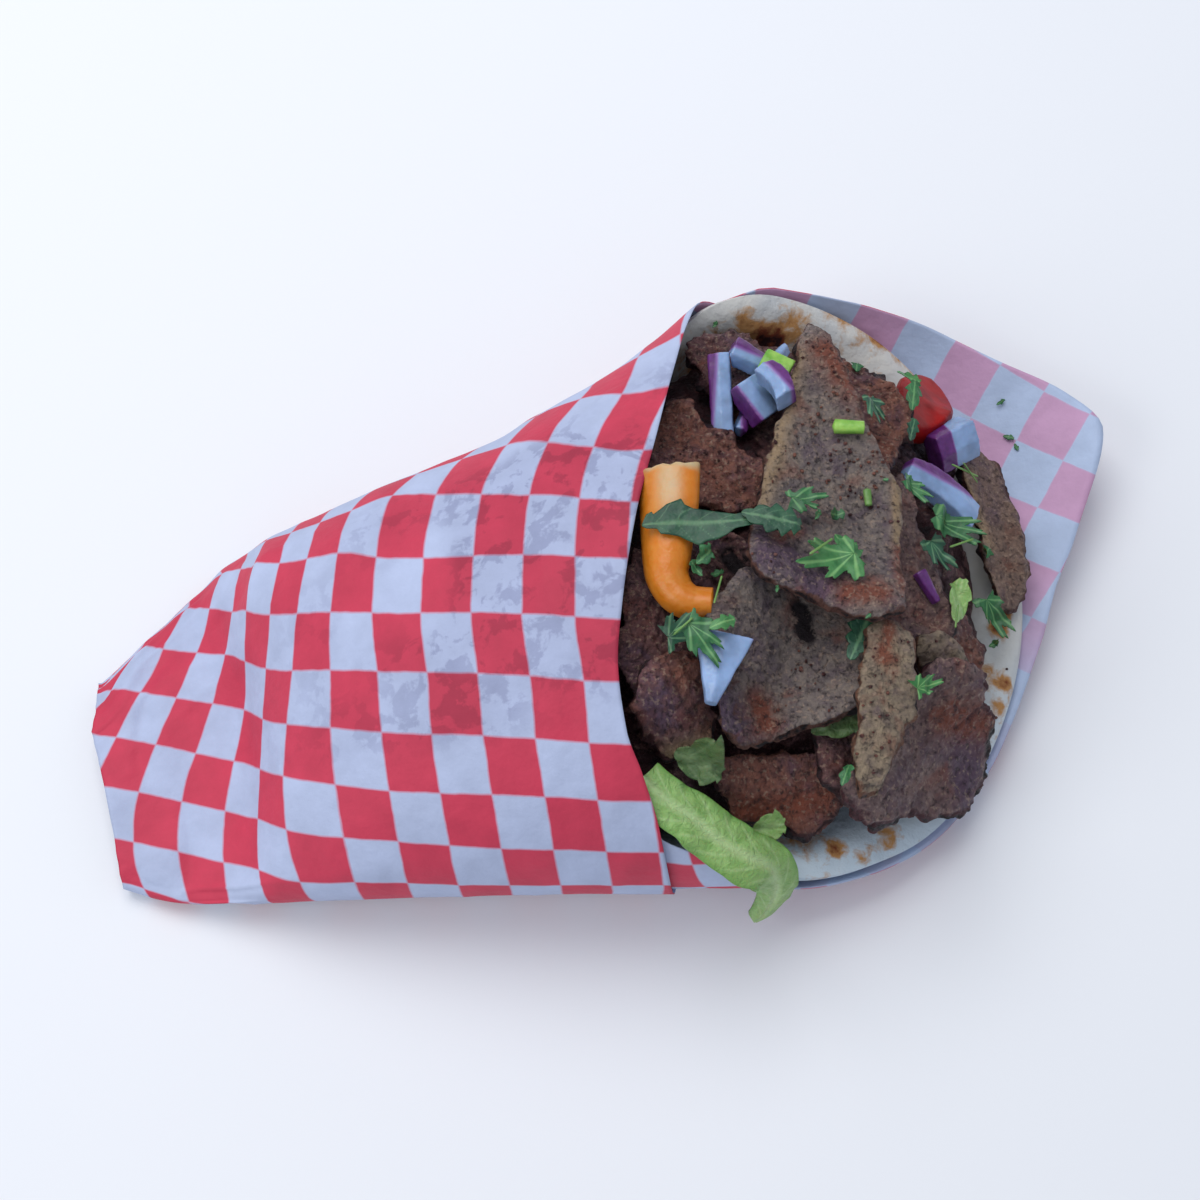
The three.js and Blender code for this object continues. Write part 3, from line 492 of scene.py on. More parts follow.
PRINT_ROUNDS, PRINT_CLOSE = 2500, 1e-8  # when the print is solved well enough


def print_field(points, turn, spacing, care, held, value):
    """Solves for a printed coordinate whose lines lie at a given turn from the wrap's length.

    The coordinate rises by one for each spacing across its lines, most truly where care is high,
    and where held is over 0 it is drawn to the given value.
    """
    inward, forward = sheet_frame(points)
    slope = np.cross(inward, forward) * np.cos(turn)[..., None] - forward * np.sin(turn)[..., None]
    slope /= np.broadcast_to(spacing, turn.shape)[..., None]
    row_step = np.sum(np.diff(points, axis=0) * (slope[1:] + slope[:-1]) / 2, axis=-1)
    column_step = np.sum(np.diff(points, axis=1) * (slope[:, 1:] + slope[:, :-1]) / 2, axis=-1)
    row_care, column_care = np.minimum(care[1:], care[:-1]), np.minimum(care[:, 1:], care[:, :-1])

    def gather(down, across, start):
        start[1:] += row_care * down
        start[:-1] -= row_care * down
        start[:, 1:] += column_care * across
        start[:, :-1] -= column_care * across
        return start

    def spreading(field):
        return gather(np.diff(field, axis=0), np.diff(field, axis=1), held * field)

    field = np.array(value)
    rest = gather(row_step, column_step, held * value) - spreading(field)
    way, size = rest.copy(), np.sum(rest * rest)
    for _ in range(PRINT_ROUNDS):
        spread_way = spreading(way)
        stride = size / np.sum(way * spread_way)
        field += stride * way
        rest -= stride * spread_way
        new_size = np.sum(rest * rest)
        if new_size < PRINT_CLOSE:
            break
        way = rest + new_size / size * way
        size = new_size
    return field


FIRST_ROW = 4.5  # the row of checks at the sheet's near side, counted round the roll
STRETCH = 1.043  # of the sheet round the roll
TAIL_SQUEEZE = 0.12  # of the checks' length in the folded tail
LOOSE = 0.02  # how little the print is kept true underneath, where it isn't seen
# Where the columns of checks by the mouth start, by the way up the sheet from the near side.
print_edge = along([
    (0, 11.5), (18, 10), (44, 6.5), (57, 5.3), (71, 3.4), (85, 3.4), (99, 4.3), (115, 8),
    (140, 16),
])
# The turn of the rows and of the columns of checks in the folded tail, by degrees round the roll.
tail_rows = along([(120, 24), (170, 16), (195, 12), (270, 13)])
tail_columns = along([(150, 26), (190, 22), (206, 10), (220, 0), (238, -12), (265, -20)])
MOUTH_ROWS, MOUTH_COLUMNS = -35, -20  # and on the collar at the mouth
# The counts along and round on the collar, from those that would run on there: shares and start.
COLLAR_SLIP = np.array([(0.994, -0.353, -3.43), (-0.08, 1.017, -0.58)])


def counted_up(up, x):
    """How far up the front the rows of checks count: squeezed low, and stretched over the top."""
    squeezed = 0.13 * np.maximum(0, 35 - up) * (1 - smooth(x, -60, -15))
    folded = 0.008 * np.maximum(0, up - 85) * np.maximum(0, 2 - x)
    return up - squeezed - folded - 0.32 * np.maximum(0, up - 112)


def paper_print(points, x, degrees, long_check, round_check):
    """How many checks along and round the sheet each point lies.

    On the front both are counted from the sheet's edges. From there the print is carried over the
    back, down into the folded tail and round to the collar, where it slips against the front.
    """
    width = np.linalg.norm(np.diff(points, axis=1), axis=-1)
    travelled = np.concatenate([np.zeros((len(x), 1)), np.cumsum(width, axis=1)], axis=1)
    up = travelled[:, [np.argmin(np.abs(degrees[0] - 270))]] - travelled
    lean = (print_edge(up + 1) - print_edge(up - 1)) / 2

    tail = smooth(degrees, 100, 150) * (1 - smooth(x, -88, -58))
    forward, body = smooth(x, 0, 35), smooth(x, -85, -60)
    mouth = (1 - smooth(degrees, 60, 150)) * forward
    held = smooth(degrees, 120, 140) * smooth(x, -62, -40) * smooth(x, -66, -46)
    care = mix(LOOSE, 1.0, smooth(degrees - 90 * (1 - body), 20, 50)) + (degrees < 80) * (x > 0)

    carried = carried_turn(points, np.argmin(np.abs(degrees[0] - 140))) * (1 - forward) * body
    rows = np.radians(tail_rows(degrees) * tail + MOUTH_ROWS * mouth) + carried
    columns = np.radians(tail_columns(degrees) * tail + MOUTH_COLUMNS * mouth) + carried
    columns = columns + np.arctan(lean) * (1 - tail) * (1 - mouth)

    round_check = STRETCH * round_check
    counted = (FIRST_ROW - counted_up(up, x)) / round_check
    round_it = print_field(points, rows, round_check, care, held, counted)
    counted = (x - print_edge(up) + 1.6 * (1 - smooth(x, -66, -52))) / long_check
    long_check = long_check * (1 - TAIL_SQUEEZE * tail)
    long_it = print_field(points, columns - np.pi / 2, long_check, care, held, counted)

    counts = np.stack([long_it, round_it, np.ones(x.shape)])
    slipped = np.tensordot(COLLAR_SLIP, counts, axes=1)
    opened = 1 - smooth(degrees, 62, 135)
    return np.moveaxis(mix(counts[:2], slipped, opened), 0, -1)


def paper_paint(name, red, white, line, strength, greasy):
    """Printed checks with thin lines between them, faint mottling and grease stains."""
    paint = Paint(name)
    at = paint.add("ShaderNodeUVMap", uv_map="Print").outputs["UV"]
    wobble = paint.add("ShaderNodeTexNoise", {"Vector": at, "Scale": 2.2, "Detail": 2.0})
    shift = paint.add("ShaderNodeVectorMath", operation="SUBTRACT")
    paint.plug(wobble.outputs["Color"], shift.inputs[0])
    paint.plug((0.5, 0.5, 0.5), shift.inputs[1])
    printed = paint.add("ShaderNodeVectorMath", operation="MULTIPLY_ADD")
    for socket, value in enumerate((shift.outputs[0], (0.05, 0.05, 0.0), at)):
        paint.plug(value, printed.inputs[socket])
    split = paint.add("ShaderNodeSeparateXYZ", {"Vector": printed.outputs[0]})
    steps = [paint.math("FLOOR", split.outputs[k]) for k in (0, 1)]
    odd = paint.math("FLOORED_MODULO", paint.math("ADD", *steps), 2.0)
    shares = [paint.math("FRACT", split.outputs[k]) for k in (0, 1)]
    off_middle = [paint.math("ABSOLUTE", paint.math("SUBTRACT", share, 0.5)) for share in shares]
    border = paint.between(paint.math("MAXIMUM", *off_middle), 0.475, 0.492)
    mottle = paint.noise(9, 5.0, 0.6)
    reds = paint.blend(paint.between(mottle, 0.3, 0.7), shade(red), shade(red, 0.84))
    whites = paint.blend(paint.between(mottle, 0.35, 0.65), shade(white), shade(white, 0.88))
    reds = paint.blend(paint.mask("faint"), reds, whites)
    checks = paint.blend(odd, reds, whites)
    checks = paint.blend(paint.math("MULTIPLY", border, strength), checks, shade(line))
    if greasy:
        patch = paint.between(paint.noise(6, 4.0, 0.6, 0.3), 0.5, 0.56, 0.35, 1.0)
        patch = paint.math("MULTIPLY", paint.mask("grease"), patch)
        stained = paint.blend(1.0, checks, GREASE, "MULTIPLY")
        checks = paint.blend(patch, checks, stained)
    fibres = paint.bump(paint.noise(0.5, 3.0, 0.6), 0.05)
    creases = paint.bump(paint.noise(7, 3.0, 0.55), 0.5, fibres)
    return paint.finish(Base_Color=checks, Roughness=0.62, Specular_IOR_Level=0.3, Normal=creases)


def make_paper(settings):
    """The sheet wound round the wrap, printed on both faces."""
    points, x, degrees = paper_grid(settings.crinkle / MM)
    print_at = paper_print(points, x, degrees, settings.check_long / MM,
                           settings.check_round / MM)
    thickness = settings.thickness / MM
    inward, _ = sheet_frame(points)
    tucked = START_LIFT * smooth(-degrees, 58, 66)
    points[..., 2] = np.maximum(points[..., 2], tucked)
    inner = points + inward * thickness
    inner[..., 2] = np.maximum(inner[..., 2], tucked + thickness)
    solid, faces = shell(points, inner)
    front = smooth(x, -95, -30) * smooth(degrees, 125, 145) * (1 - smooth(degrees, 204, 216))
    grease = front * smooth(lumps(points, 14, 8), -0.7, 0.3) * settings.grease
    pink = mix(np.array(settings.red), np.array(settings.white), 0.5)
    outside = paper_paint("Printed paper outside", settings.red, settings.white, pink, 0.8, True)
    inside = paper_paint("Printed paper inside", settings.red_inside, settings.white_inside,
                         settings.white_inside, 0.3, False)
    faint = np.concatenate([0 * x.ravel(), 0.85 * smooth(-degrees, -6, 14).ravel()])
    piece = make("checked_paper", solid, faces, [outside, inside], "checked_paper",
                 ["wrap_paper"], np.tile(print_at.reshape(-1, 2), (2, 1)),
                 grease=both_faces(grease), faint=faint)
    first = np.array([face.vertices[0] for face in piece.data.polygons])
    piece.data.polygons.foreach_set("material_index", (first >= x.size).astype(np.int32))
    ground.lay(points.reshape(-1, 3))


# ---------------------------------------------------------------- pita

PITA_RADIUS, PITA_THICK, PITA_INSET = 89, 7, 1.2
PITA_CENTRE_X, PITA_SHIFT = 11, 5  # from the roll's middle and from its belly line
PITA_SPOKES, PITA_RINGS = 300, 70
RIM_FROM = 0.9  # the share of the radius beyond which the rim is rounded

# Toasted spots: x, y, reach and darkness, millimetres and a share.
TOASTED = [
    (38.4, 63.8, 2.8, 1.05), (42, 64.6, 2.6, 1.0), (34, 64.5, 5, 0.5), (46, 67, 6, 0.45),
    (68.7, 70.2, 3.4, 1.0), (66, 70.5, 6, 0.5), (75.4, 66.5, 4.5, 0.62), (80, 61, 4, 0.45),
    (58, 72.5, 6, 0.4), (22.8, 54, 6, 0.6), (27, 60, 5, 0.5), (93.8, -5.4, 2.6, 0.85),
    (95.5, -2, 2.2, 0.7), (94.4, -19, 2.6, 0.7), (90, -17, 5, 0.42), (92.5, -25, 3, 0.5),
    (51.2, -59.8, 2.8, 0.75), (58, -61, 3, 0.4), (44, -57, 6, 0.42), (64, -57, 5, 0.4),
    (88, -32, 5, 0.38),
]


def pita_paint():
    """Pale bread, bluer on the near side as painted shade, with ragged tan, brown and burnt spots."""
    paint = Paint("Griddled pita")
    ragged = paint.math("SUBTRACT", paint.noise(3.2, 5.0, 0.65, 0.4), 0.5)
    toast = paint.math("ADD", paint.mask("toast"), ragged)
    tone = paint.blend(paint.noise(11, 3.0), colour(216, 209, 196), colour(186, 192, 198))
    # Bluer towards the near side: painted shade.
    tone = paint.blend(paint.mask("cool"), tone, colour(192, 210, 224))
    for low, high, darker in ((0.25, 0.5, (178, 132, 84)), (0.55, 0.8, (112, 54, 34)),
                              (0.85, 1.05, (48, 24, 28))):
        tone = paint.blend(paint.between(toast, low, high), tone, colour(*darker))
    rough = paint.bump(paint.noise(1.1, 4.0, 0.6), 0.25)
    puffed = paint.bump(paint.noise(9, 2.0), 1.5, rough)
    return paint.finish(Base_Color=tone, Roughness=0.8, Specular_IOR_Level=0.2, Normal=puffed)


def degrees_at(x, length):
    """Degrees round the trough at which a length of bread lies away from the belly line."""
    turns = np.arange(-200.0, 201.0)
    knots = np.linspace(x.min(), x.max(), 120)
    tables = []
    for knot in knots:
        ring = skin(knot, turns, PITA_INSET)
        travelled = np.concatenate([[0], np.cumsum(np.hypot(*np.diff(ring[:, 1:], axis=0).T))])
        tables.append(travelled - travelled[len(turns) // 2])
    place = np.clip((x - knots[0]) / (knots[1] - knots[0]), 0, len(knots) - 1.001)
    degrees = np.empty(x.shape)
    for i in np.ndindex(x.shape):
        low = int(place[i])
        table = mix(tables[low], tables[low + 1], place[i] - low)
        degrees[i] = np.interp(length[i], table, turns)
    return degrees


def make_pita(settings):
    """The round flat bread, bent up along the trough of the paper."""
    angle = np.linspace(0, 2 * np.pi, PITA_SPOKES, endpoint=False)[None, :]
    r = np.linspace(0.02, 1, PITA_RINGS)[:, None] ** 0.8
    x = PITA_CENTRE_X + PITA_RADIUS * r * np.cos(angle)
    length = PITA_SHIFT + PITA_RADIUS * r * np.sin(angle)
    degrees = degrees_at(x, length)
    flat = np.stack([x, length, 0 * x], -1)
    rounded = 1 - np.sqrt(1 - np.clip((r - RIM_FROM) / (1 - RIM_FROM), 0, 1) ** 2)
    wave = r * (0.35 * np.sin(5 * angle + 1) + 0.25 * np.sin(9 * angle))
    puff = settings.puff / MM * (lumps(flat, 13, 11) + 0.5 * lumps(flat, 5, 12))
    inner = PITA_THICK * (1 - rounded * 0.75) + (wave + puff) * (1 - rounded)
    outside = skin(x, degrees, PITA_INSET + PITA_THICK * 0.25 * rounded)
    inside = skin(x, degrees, PITA_INSET + inner)
    points = np.concatenate([outside.reshape(-1, 3), inside.reshape(-1, 3)])
    faces = grid_faces(PITA_RINGS, PITA_SPOKES, ring=True)
    hub = np.arange(PITA_SPOKES)
    faces = [*faces.tolist(), *(faces[:, ::-1] + x.size).tolist(), hub[::-1].tolist(),
             (hub + x.size).tolist()]
    toast = 0.12 + 0.16 * lumps(points, 14, 13)
    for spot_x, spot_y, reach, dark in TOASTED:
        away = np.hypot(points[:, 0] - spot_x, points[:, 1] - spot_y)
        toast = np.maximum(toast, dark * 1.15 * np.exp(-((away / reach) ** 2)))
    # The near-side mask is painted bluish shade, strongest at the near rim.
    make("pita_bread", points, faces, pita_paint(), "pita_bread", ["pita"],
         toast=toast, cool=0.8 * smooth(-points[:, 1], 0, 45))
    ground.lay(points)


# ---------------------------------------------------------------- meat

# Meat colours: pale and middling cut face; dark, for the flecks and painted shade in the pits; and the
# crust.
GREY = ((140, 127, 118), (102, 92, 93), (48, 38, 44), (98, 64, 54))
TAN = ((158, 140, 116), (126, 111, 97), (66, 54, 50), (112, 76, 58))
RUST = ((140, 92, 76), (100, 62, 58), (46, 26, 30), (64, 30, 32))
MAROON = ((118, 82, 80), (82, 54, 58), (42, 25, 32), (56, 26, 30))
DUSKY = ((134, 108, 102), (102, 78, 80), (56, 38, 46), (76, 40, 46))
BROWN = ((140, 114, 98), (108, 86, 78), (54, 40, 42), (84, 50, 42))
CHARRED, FAT = colour(26, 15, 20), colour(176, 150, 130)
# Patches in the meat: kind, colour, between which levels of the broad noise they come in without
# a mark, and how strongly.
PATCHES = [
    ("dusk", (92, 70, 90), 0.52, 0.66, 0.5), ("rust", (132, 70, 50), 0.46, 0.34, 0.45),
    ("tan", (168, 142, 110), 0.66, 0.72, 0.0),
]


def meat_paint(name, tones, gloss=0.0):
    """Griddled shaved meat: a mottled, pitted face with a darker, ragged crust at the edge."""
    pale, middling, dark, crust = (colour(*tone) for tone in tones)
    paint = Paint(name)
    flatter = paint.add("ShaderNodeMapping", {"Vector": paint.place, "Scale": (1.0, 1.0, 0.45)})
    paint.place = flatter.outputs["Vector"]  # stretched down steep sides, as torn meat is
    grain = paint.noise(3.4, 6.0, 0.68, 0.3)
    broad = paint.noise(9, 4.0, 0.6, 0.5)
    face = paint.blend(paint.between(grain, 0.38, 0.62), pale, middling)
    for kind, patch, low, high, most in PATCHES:
        share = paint.math("ADD", paint.mask(kind), paint.between(broad, low, high, 0.0, most))
        share = paint.math("MULTIPLY", share, paint.between(grain, 0.3, 0.55, 0.45, 1.1))
        face = paint.blend(paint.math("MINIMUM", share, 0.9), face, colour(*patch))
    pitting = paint.noise(1.3, 5.0, 0.7, 0.2)
    pits = paint.between(pitting, 0.55, 0.65)
    # Darker in the sunken pits: dark flecks and painted shade.
    face = paint.blend(paint.math("MULTIPLY", pits, 0.75), face, dark)
    grains = paint.between(paint.noise(1.0, 3.0, 0.6), 0.56, 0.66)
    face = paint.blend(paint.math("MULTIPLY", grains, 0.5), face, FAT)
    edge = paint.math("ADD", paint.mask("crust"), paint.between(grain, 0.35, 0.65, -0.35, 0.35))
    griddled = paint.blend(paint.between(edge, 0.3, 0.6), face, crust)
    burnt = paint.blend(paint.between(edge, 0.85, 1.1), griddled, CHARRED)
    spot = paint.math("MULTIPLY", paint.mask("char"), paint.between(grain, 0.3, 0.5))
    burnt = paint.blend(paint.between(spot, 0.25, 0.6), burnt, CHARRED)
    sunk = paint.bump(paint.math("SUBTRACT", 1.0, pits), 0.3)
    grainy = paint.bump(paint.cells(1.5), 0.7, sunk)
    pitted = paint.bump(paint.noise(2.4, 6.0, 0.7), 2.0, grainy)
    wet = paint.between(paint.noise(2.0, 3.0), 0.42, 0.6, 0.75 - 0.25 * gloss, 0.5 - 0.25 * gloss)
    return paint.finish(Base_Color=burnt, Roughness=wet, Specular_IOR_Level=0.4, Normal=pitted)


# Each slice: its CAD node, colours, how far the crust reaches in and how knobbly it is in
# millimetres, and its gloss.
SLICES = [
    ("slice_main", GREY, 1.6, 0.8, 0.1), ("slice_lower_big", GREY, 1.6, 0.9, 0.1),
    ("slice_narrow_pale", TAN, 1.2, 0.9, 0.0), ("slice_lower_right", DUSKY, 2.5, 1.2, 0.2),
    ("slice_lower_left", RUST, 2.0, 1.3, 0.1), ("slice_left_crusty", RUST, 3.0, 2.2, 0.7),
    ("slice_left_low", MAROON, 3.0, 1.9, 0.6), ("slice_middle_burnt", MAROON, 4.0, 2.0, 0.7),
    ("slice_right_middle", DUSKY, 2.0, 1.1, 0.1), ("slice_right_small", TAN, 1.0, 0.9, 0.0),
    ("slice_right_back", RUST, 2.5, 1.5, 0.3), ("slice_far_rim_long", BROWN, 1.6, 1.0, 0.0),
    ("slice_far_rim", MAROON, 3.0, 1.7, 0.6), ("slice_far_dark", RUST, 2.5, 1.8, 0.3),
    ("slice_bottom", RUST, 2.0, 1.4, 0.2), ("slice_under", MAROON, 3.0, 1.5, 0.2),
]
# Marks on them: kind, both ends of a line seen from above, and how wide it is.
MARKS = {
    "slice_main": [
        ("tan", 42, 45, 36, 17, 2.6), ("tan", 36, 17, 33, 6, 2.0), ("tan", 64, 24, 63, 0, 1.2),
        ("rust", 50, 46, 56, 38, 5), ("rust", 60, 43, 62, 33, 3), ("rust", 63, -2, 62, -14, 1.6),
        ("rust", 50, -15, 57, -15, 3), ("rust", 36, -3, 40, 0, 2), ("dusk", 34, -6, 44, -15, 5),
    ],
    "slice_lower_big": [
        ("char", 41.5, -15.5, 42.8, -20, 2.6), ("dusk", 24, -40, 30, -52, 6),
        ("rust", 32, -36, 34, -40, 3), ("tan", 40, -50, 56, -44, 2),
    ],
    "slice_narrow_pale": [("rust", 60, -18, 58, -28, 1.6)],
    "slice_lower_right": [
        ("char", 88, -36, 90, -46, 2.5), ("dusk", 80, -40, 84, -50, 5),
        ("rust", 74, -36, 86, -34, 3),
    ],
    "slice_far_rim_long": [("tan", 90, 12, 84, 26, 2)],
    "slice_bottom": [("rust", 30, -56, 48, -52, 3)],
    "slice_lower_left": [("tan", 14, -46, 22, -44, 3), ("dusk", 10, -38, 16, -42, 4)],
    "slice_middle_burnt": [("char", 27, -3, 33, -10, 3)],
}


def near_line(points, x0, y0, x1, y1, width):
    """1 on a line seen from above, falling to 0 over about twice its width."""
    start, span = np.array([x0, y0]), np.array([x1 - x0, y1 - y0])
    share = np.clip((points[:, :2] - start) @ span / (span @ span), 0, 1)
    away = np.linalg.norm(points[:, :2] - start - share[:, None] * span, axis=1)
    return np.exp(-((away / width) ** 2))


def make_slice(node, tones, reach, knobbly, gloss, cell):
    """A shaved slice: its CAD solid made fine, knobbly and frayed, with its crust and marks."""
    points, faces, edges, normals = fine_copy(node, cell, 4)
    rim = spread(1 - np.abs(normals[:, 2]), edges, 2)
    crust = spread(rim, edges, round(reach / cell * 3))
    least, most = np.percentile(crust, [55, 97])
    crust = np.clip((crust - least) / (most - least), 0, 1.3)
    rough = 0.5 * lumps(points, 5.5, 1) + 0.4 * lumps(points, 2.4, 2) + 0.45 * lumps(points, 1.3, 3)
    ridges = (1 - np.abs(lumps(points, 2.6, 7))) ** 5
    rough = rough + (0.25 + 0.3 * max(0, knobbly - 1.1)) * ridges
    rough = rough * (0.55 + 0.45 * crust) * knobbly + 0.35 * lumps(points, 10, 8)
    fray = 1.1 * lumps(points, 4.2, 4) + 0.9 * lumps(points, 1.9, 5) - 0.3
    fray = fray * rim * (0.5 + 0.35 * knobbly)
    points = points + normals * rough[:, None] + normals * [1, 1, 0] * fray[:, None]
    marks = {kind: np.zeros(len(points)) for kind in ("tan", "rust", "dusk", "char")}
    for kind, *line in MARKS.get(node, []):
        marks[kind] = np.maximum(marks[kind], near_line(points, *line))
    paint = meat_paint("Meat of " + node.replace("_", " "), tones, gloss)
    make("meat_" + node, points, faces, paint, "shaved_meat", [node], crust=crust, **marks)
    ground.lay(points)


HEAP_BACK, HEAP_BACK_FROM = 6, (-70, -45)  # its end is drawn back from the fold of the paper


def make_heap():
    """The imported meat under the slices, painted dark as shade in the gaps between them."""
    points, faces, _, normals = fine_copy("meat_heap", 1.0, 6)
    rough = 1.2 * lumps(points, 8, 21) + 0.9 * lumps(points, 3.6, 22) + 0.5 * lumps(points, 1.8, 23)
    points = points + normals * (np.minimum(rough, 0.9) - 0.5)[:, None]
    points[:, 0] += HEAP_BACK * (1 - smooth(points[:, 0], *HEAP_BACK_FROM))
    # The crust mask is set high over the whole heap, so it comes out in the dark crust and charred
    # tones: painted shade for the gaps between the slices.
    make("packed_meat", points, faces, meat_paint("Meat heap", MAROON, 0.5), "shaved_meat",
         ["meat_heap"], crust=0.6 + 0.5 * lumps(points, 7, 24))
    ground.lay(points)


# ---------------------------------------------------------------- strips, leaves and bits


def route(path, count):
    """Evenly spaced points on a smooth curve through a path, and the directions there."""
    path = np.array(path, float)
    steps = np.concatenate([[0], np.cumsum(np.linalg.norm(np.diff(path, axis=0), axis=1))])
    curves = [along(np.stack([steps, path[:, k]], -1)) for k in range(3)]
    points = np.stack([curve(np.linspace(0, steps[-1], count)) for curve in curves], -1)
    ahead = np.gradient(points, axis=0)
    return points, ahead / np.linalg.norm(ahead, axis=1, keepdims=True)


def strip_frame(path, count, hang=None):
    """Points down the middle of a strip, how far along each is, and its ways ahead, aside and up.

    The strip is level across. Where hang is given, its width turns that way over the second half.
    """
    centre, ahead = route(path, count)
    share = np.linspace(0, 1, count)
    side = unit(np.stack([ahead[:, 1], -ahead[:, 0], 0 * share], -1))
    if hang is not None:
        side = mix(side, np.array(hang), smooth(share, 0.5, 0.75)[:, None])
        side = unit(side - ahead * np.sum(side * ahead, axis=1, keepdims=True))
    return centre, share, ahead, side, np.cross(side, ahead)


SQUARE = 0.7  # of a strip's section: 1 would be round, less is squarer
START_BULGE, END_BULGE = -0.6, 0.3  # how far its closed ends stand out, in millimetres


def tube(path, width, thick, arch=0.0, lean=0.0, count=60, around=28):
    """The points and faces of a strip along a path, arched across and leaning by some degrees."""
    centre, share, ahead, side, up = strip_frame(path, count)
    c, s = math.cos(math.radians(lean)), math.sin(math.radians(lean))
    side, up = side * c + up * s, up * c - side * s
    angle = np.linspace(0, 2 * np.pi, around, endpoint=False)
    across, above = power(np.cos(angle), SQUARE), power(np.sin(angle), SQUARE)
    wide = width(share)[:, None] / 2
    high = thick(share)[:, None] / 2
    shift_side = (wide * across)[..., None] * side[:, None]
    shift_up = (high * above + arch * (1 - across**2))[..., None] * up[:, None]
    rings = centre[:, None] + shift_side + shift_up
    ends = [rings[0].mean(axis=0) + START_BULGE * ahead[0],
            rings[-1].mean(axis=0) + END_BULGE * ahead[-1]]
    points = np.concatenate([rings.reshape(-1, 3), ends])
    faces = grid_faces(count, around, ring=True)[:, ::-1].tolist()
    first_end, last = count * around, (count - 1) * around
    for k in range(around):
        j = (k + 1) % around
        faces += [[first_end, k, j], [first_end + 1, last + j, last + k]]
    return points, faces


def leaf_grid(rows, columns):
    """How far along a leaf each of its points is, 0 to 1, and how far across, -1 to 1."""
    return np.linspace(0, 1, rows)[:, None], np.linspace(-1, 1, columns)[None, :]


def veined(u, v, pairs):
    """How far each point of a leaf is from its rib or its nearest side vein, 0 to 1."""
    slant = (u * pairs - 0.9 * np.abs(v)) % 1.0
    return np.minimum(np.abs(v), 0.08 + 1.6 * np.abs(slant - 0.5))


def toothed_blade(length, width, teeth, depth, seed, rows=60, columns=17):
    """The plan of a pointed leaf with teeth that lean forward, and how far a vein is at each point."""
    u, v = leaf_grid(rows, columns)
    saw = (u * teeth + 0.35 * np.sign(v) + 0.1 * seed) % 1.0
    half = width / 2 * np.sin(np.pi * (0.05 + 0.9 * u)) ** 0.75 * (1 - depth * saw)
    x = (u - 0.5) * length * 0.9 + np.abs(v) ** 1.5 * half * 0.5
    return np.stack([x + 0 * v, v * half + 0 * u], -1), veined(u, v, teeth)


def cut_leaf(length, upper, lower, pairs):
    """The plan of a leaf whose two ragged sides are given as (share along, distance) knots."""
    u, v = leaf_grid(90, 17)
    upper, lower = (np.interp(u, *np.array(knots).T) for knots in (upper, lower))
    half = np.where(v > 0, upper, lower)
    return np.stack([(u - 0.5) * length + 0 * v, v * half + 0 * u], -1), veined(u, v, pairs)


FAN_SPREAD = math.radians(104)  # to each side of a fanned leaf's middle


def cut_fan(length, width, lobes, depth, seed):
    """The plan of a pleated leaf that fans out from its stem into pointed, toothed lobes."""
    r, turn = leaf_grid(18, 97)
    r = mix(0.03, 1, r)
    angle = turn * FAN_SPREAD
    place = (turn + 1) / 2 * lobes + 0.15 * seed
    lobe = 1 - np.abs(place % 1 - 0.5) * 2
    tooth = 1 - np.abs((place * 3 + 0.4) % 1 - 0.5) * 2
    uneven = 0.88 + 0.12 * np.sin(2.3 * place + seed)
    reach = (1 - depth + depth * lobe**0.7) * (0.8 + 0.2 * tooth)
    reach = reach * (0.7 + 0.3 * np.cos(angle)) * uneven
    plan = np.stack([r * reach * np.cos(angle), r**1.1 * reach * np.sin(angle)], -1)
    low, high = plan.reshape(-1, 2).min(axis=0), plan.reshape(-1, 2).max(axis=0)
    plan = (plan - (low + high) / 2) / (high - low) * np.array([length, width])
    return plan, (1 - lobe) * (0.25 + 0.75 * r)


HANG = 0.22  # how far a leaf's ends hang down, as a share of its length
LEAF_THICK, LETTUCE_THICK = 0.25, 0.4


def lay_leaf(plan, turn, middle, under, lift, curl, thick, seed, top=math.inf):
    """Drapes a flat leaf, turned and moved to its place, over what lies below; closed and thin."""
    c, s = math.cos(math.radians(turn)), math.sin(math.radians(turn))
    flat = plan @ np.array([[c, s], [-s, c]]) + np.asarray(middle)[:2]
    deep = np.concatenate([flat, 0 * flat[..., :1]], -1)
    size = np.ptp(plan.reshape(-1, 2), axis=0).max()
    wave = lumps(deep, max(2.5, size / 3), seed) + 0.5 * lumps(deep, 1.6, seed + 1)
    rise = lift + curl * (0.6 + 0.6 * wave)
    below = np.minimum(under(flat[..., 0], flat[..., 1]), top)
    level = np.maximum(below, np.percentile(below, 70) - HANG * size) + rise
    leaf = np.concatenate([flat, level[..., None]], -1)
    return shell(leaf, leaf - np.array([0, 0, thick]))


def leaf_paint(name, blade, pale, vein, gloss=0.45):
    """A leaf: pale veins, soft mottling and a slight sheen."""
    paint = Paint(name)
    tone = paint.mottled(colour(*blade), colour(*pale), 3.5, 3.0)
    veins = paint.math("MULTIPLY", paint.between(paint.mask("rib"), 0.2, 0.05), 0.7)
    tone = paint.blend(veins, tone, colour(*vein))
    wrinkle = paint.bump(paint.noise(0.9, 3.0), 0.15)
    return paint.finish(Base_Color=tone, Roughness=gloss, Specular_IOR_Level=0.4, Normal=wrinkle,
                        Subsurface_Weight=0.08, Subsurface_Scale=0.002)


# ---------------------------------------------------------------- pepper, onion and tomato

PEPPER_PATH = [(12, 8.5, 68), (12, 1.5, 68), (11.5, -8, 67.5), (11.3, -14, 67), (13.3, -19, 66.5),
               (16.8, -21.2, 66.5), (21, -21.6, 67)]
PEPPER_ARCH, PEPPER_LEAN, PEPPER_LIFT = 2.2, -20, 0.5
PEPPER_MIDDLE = 12.9  # the x of the strip's middle at its straight end


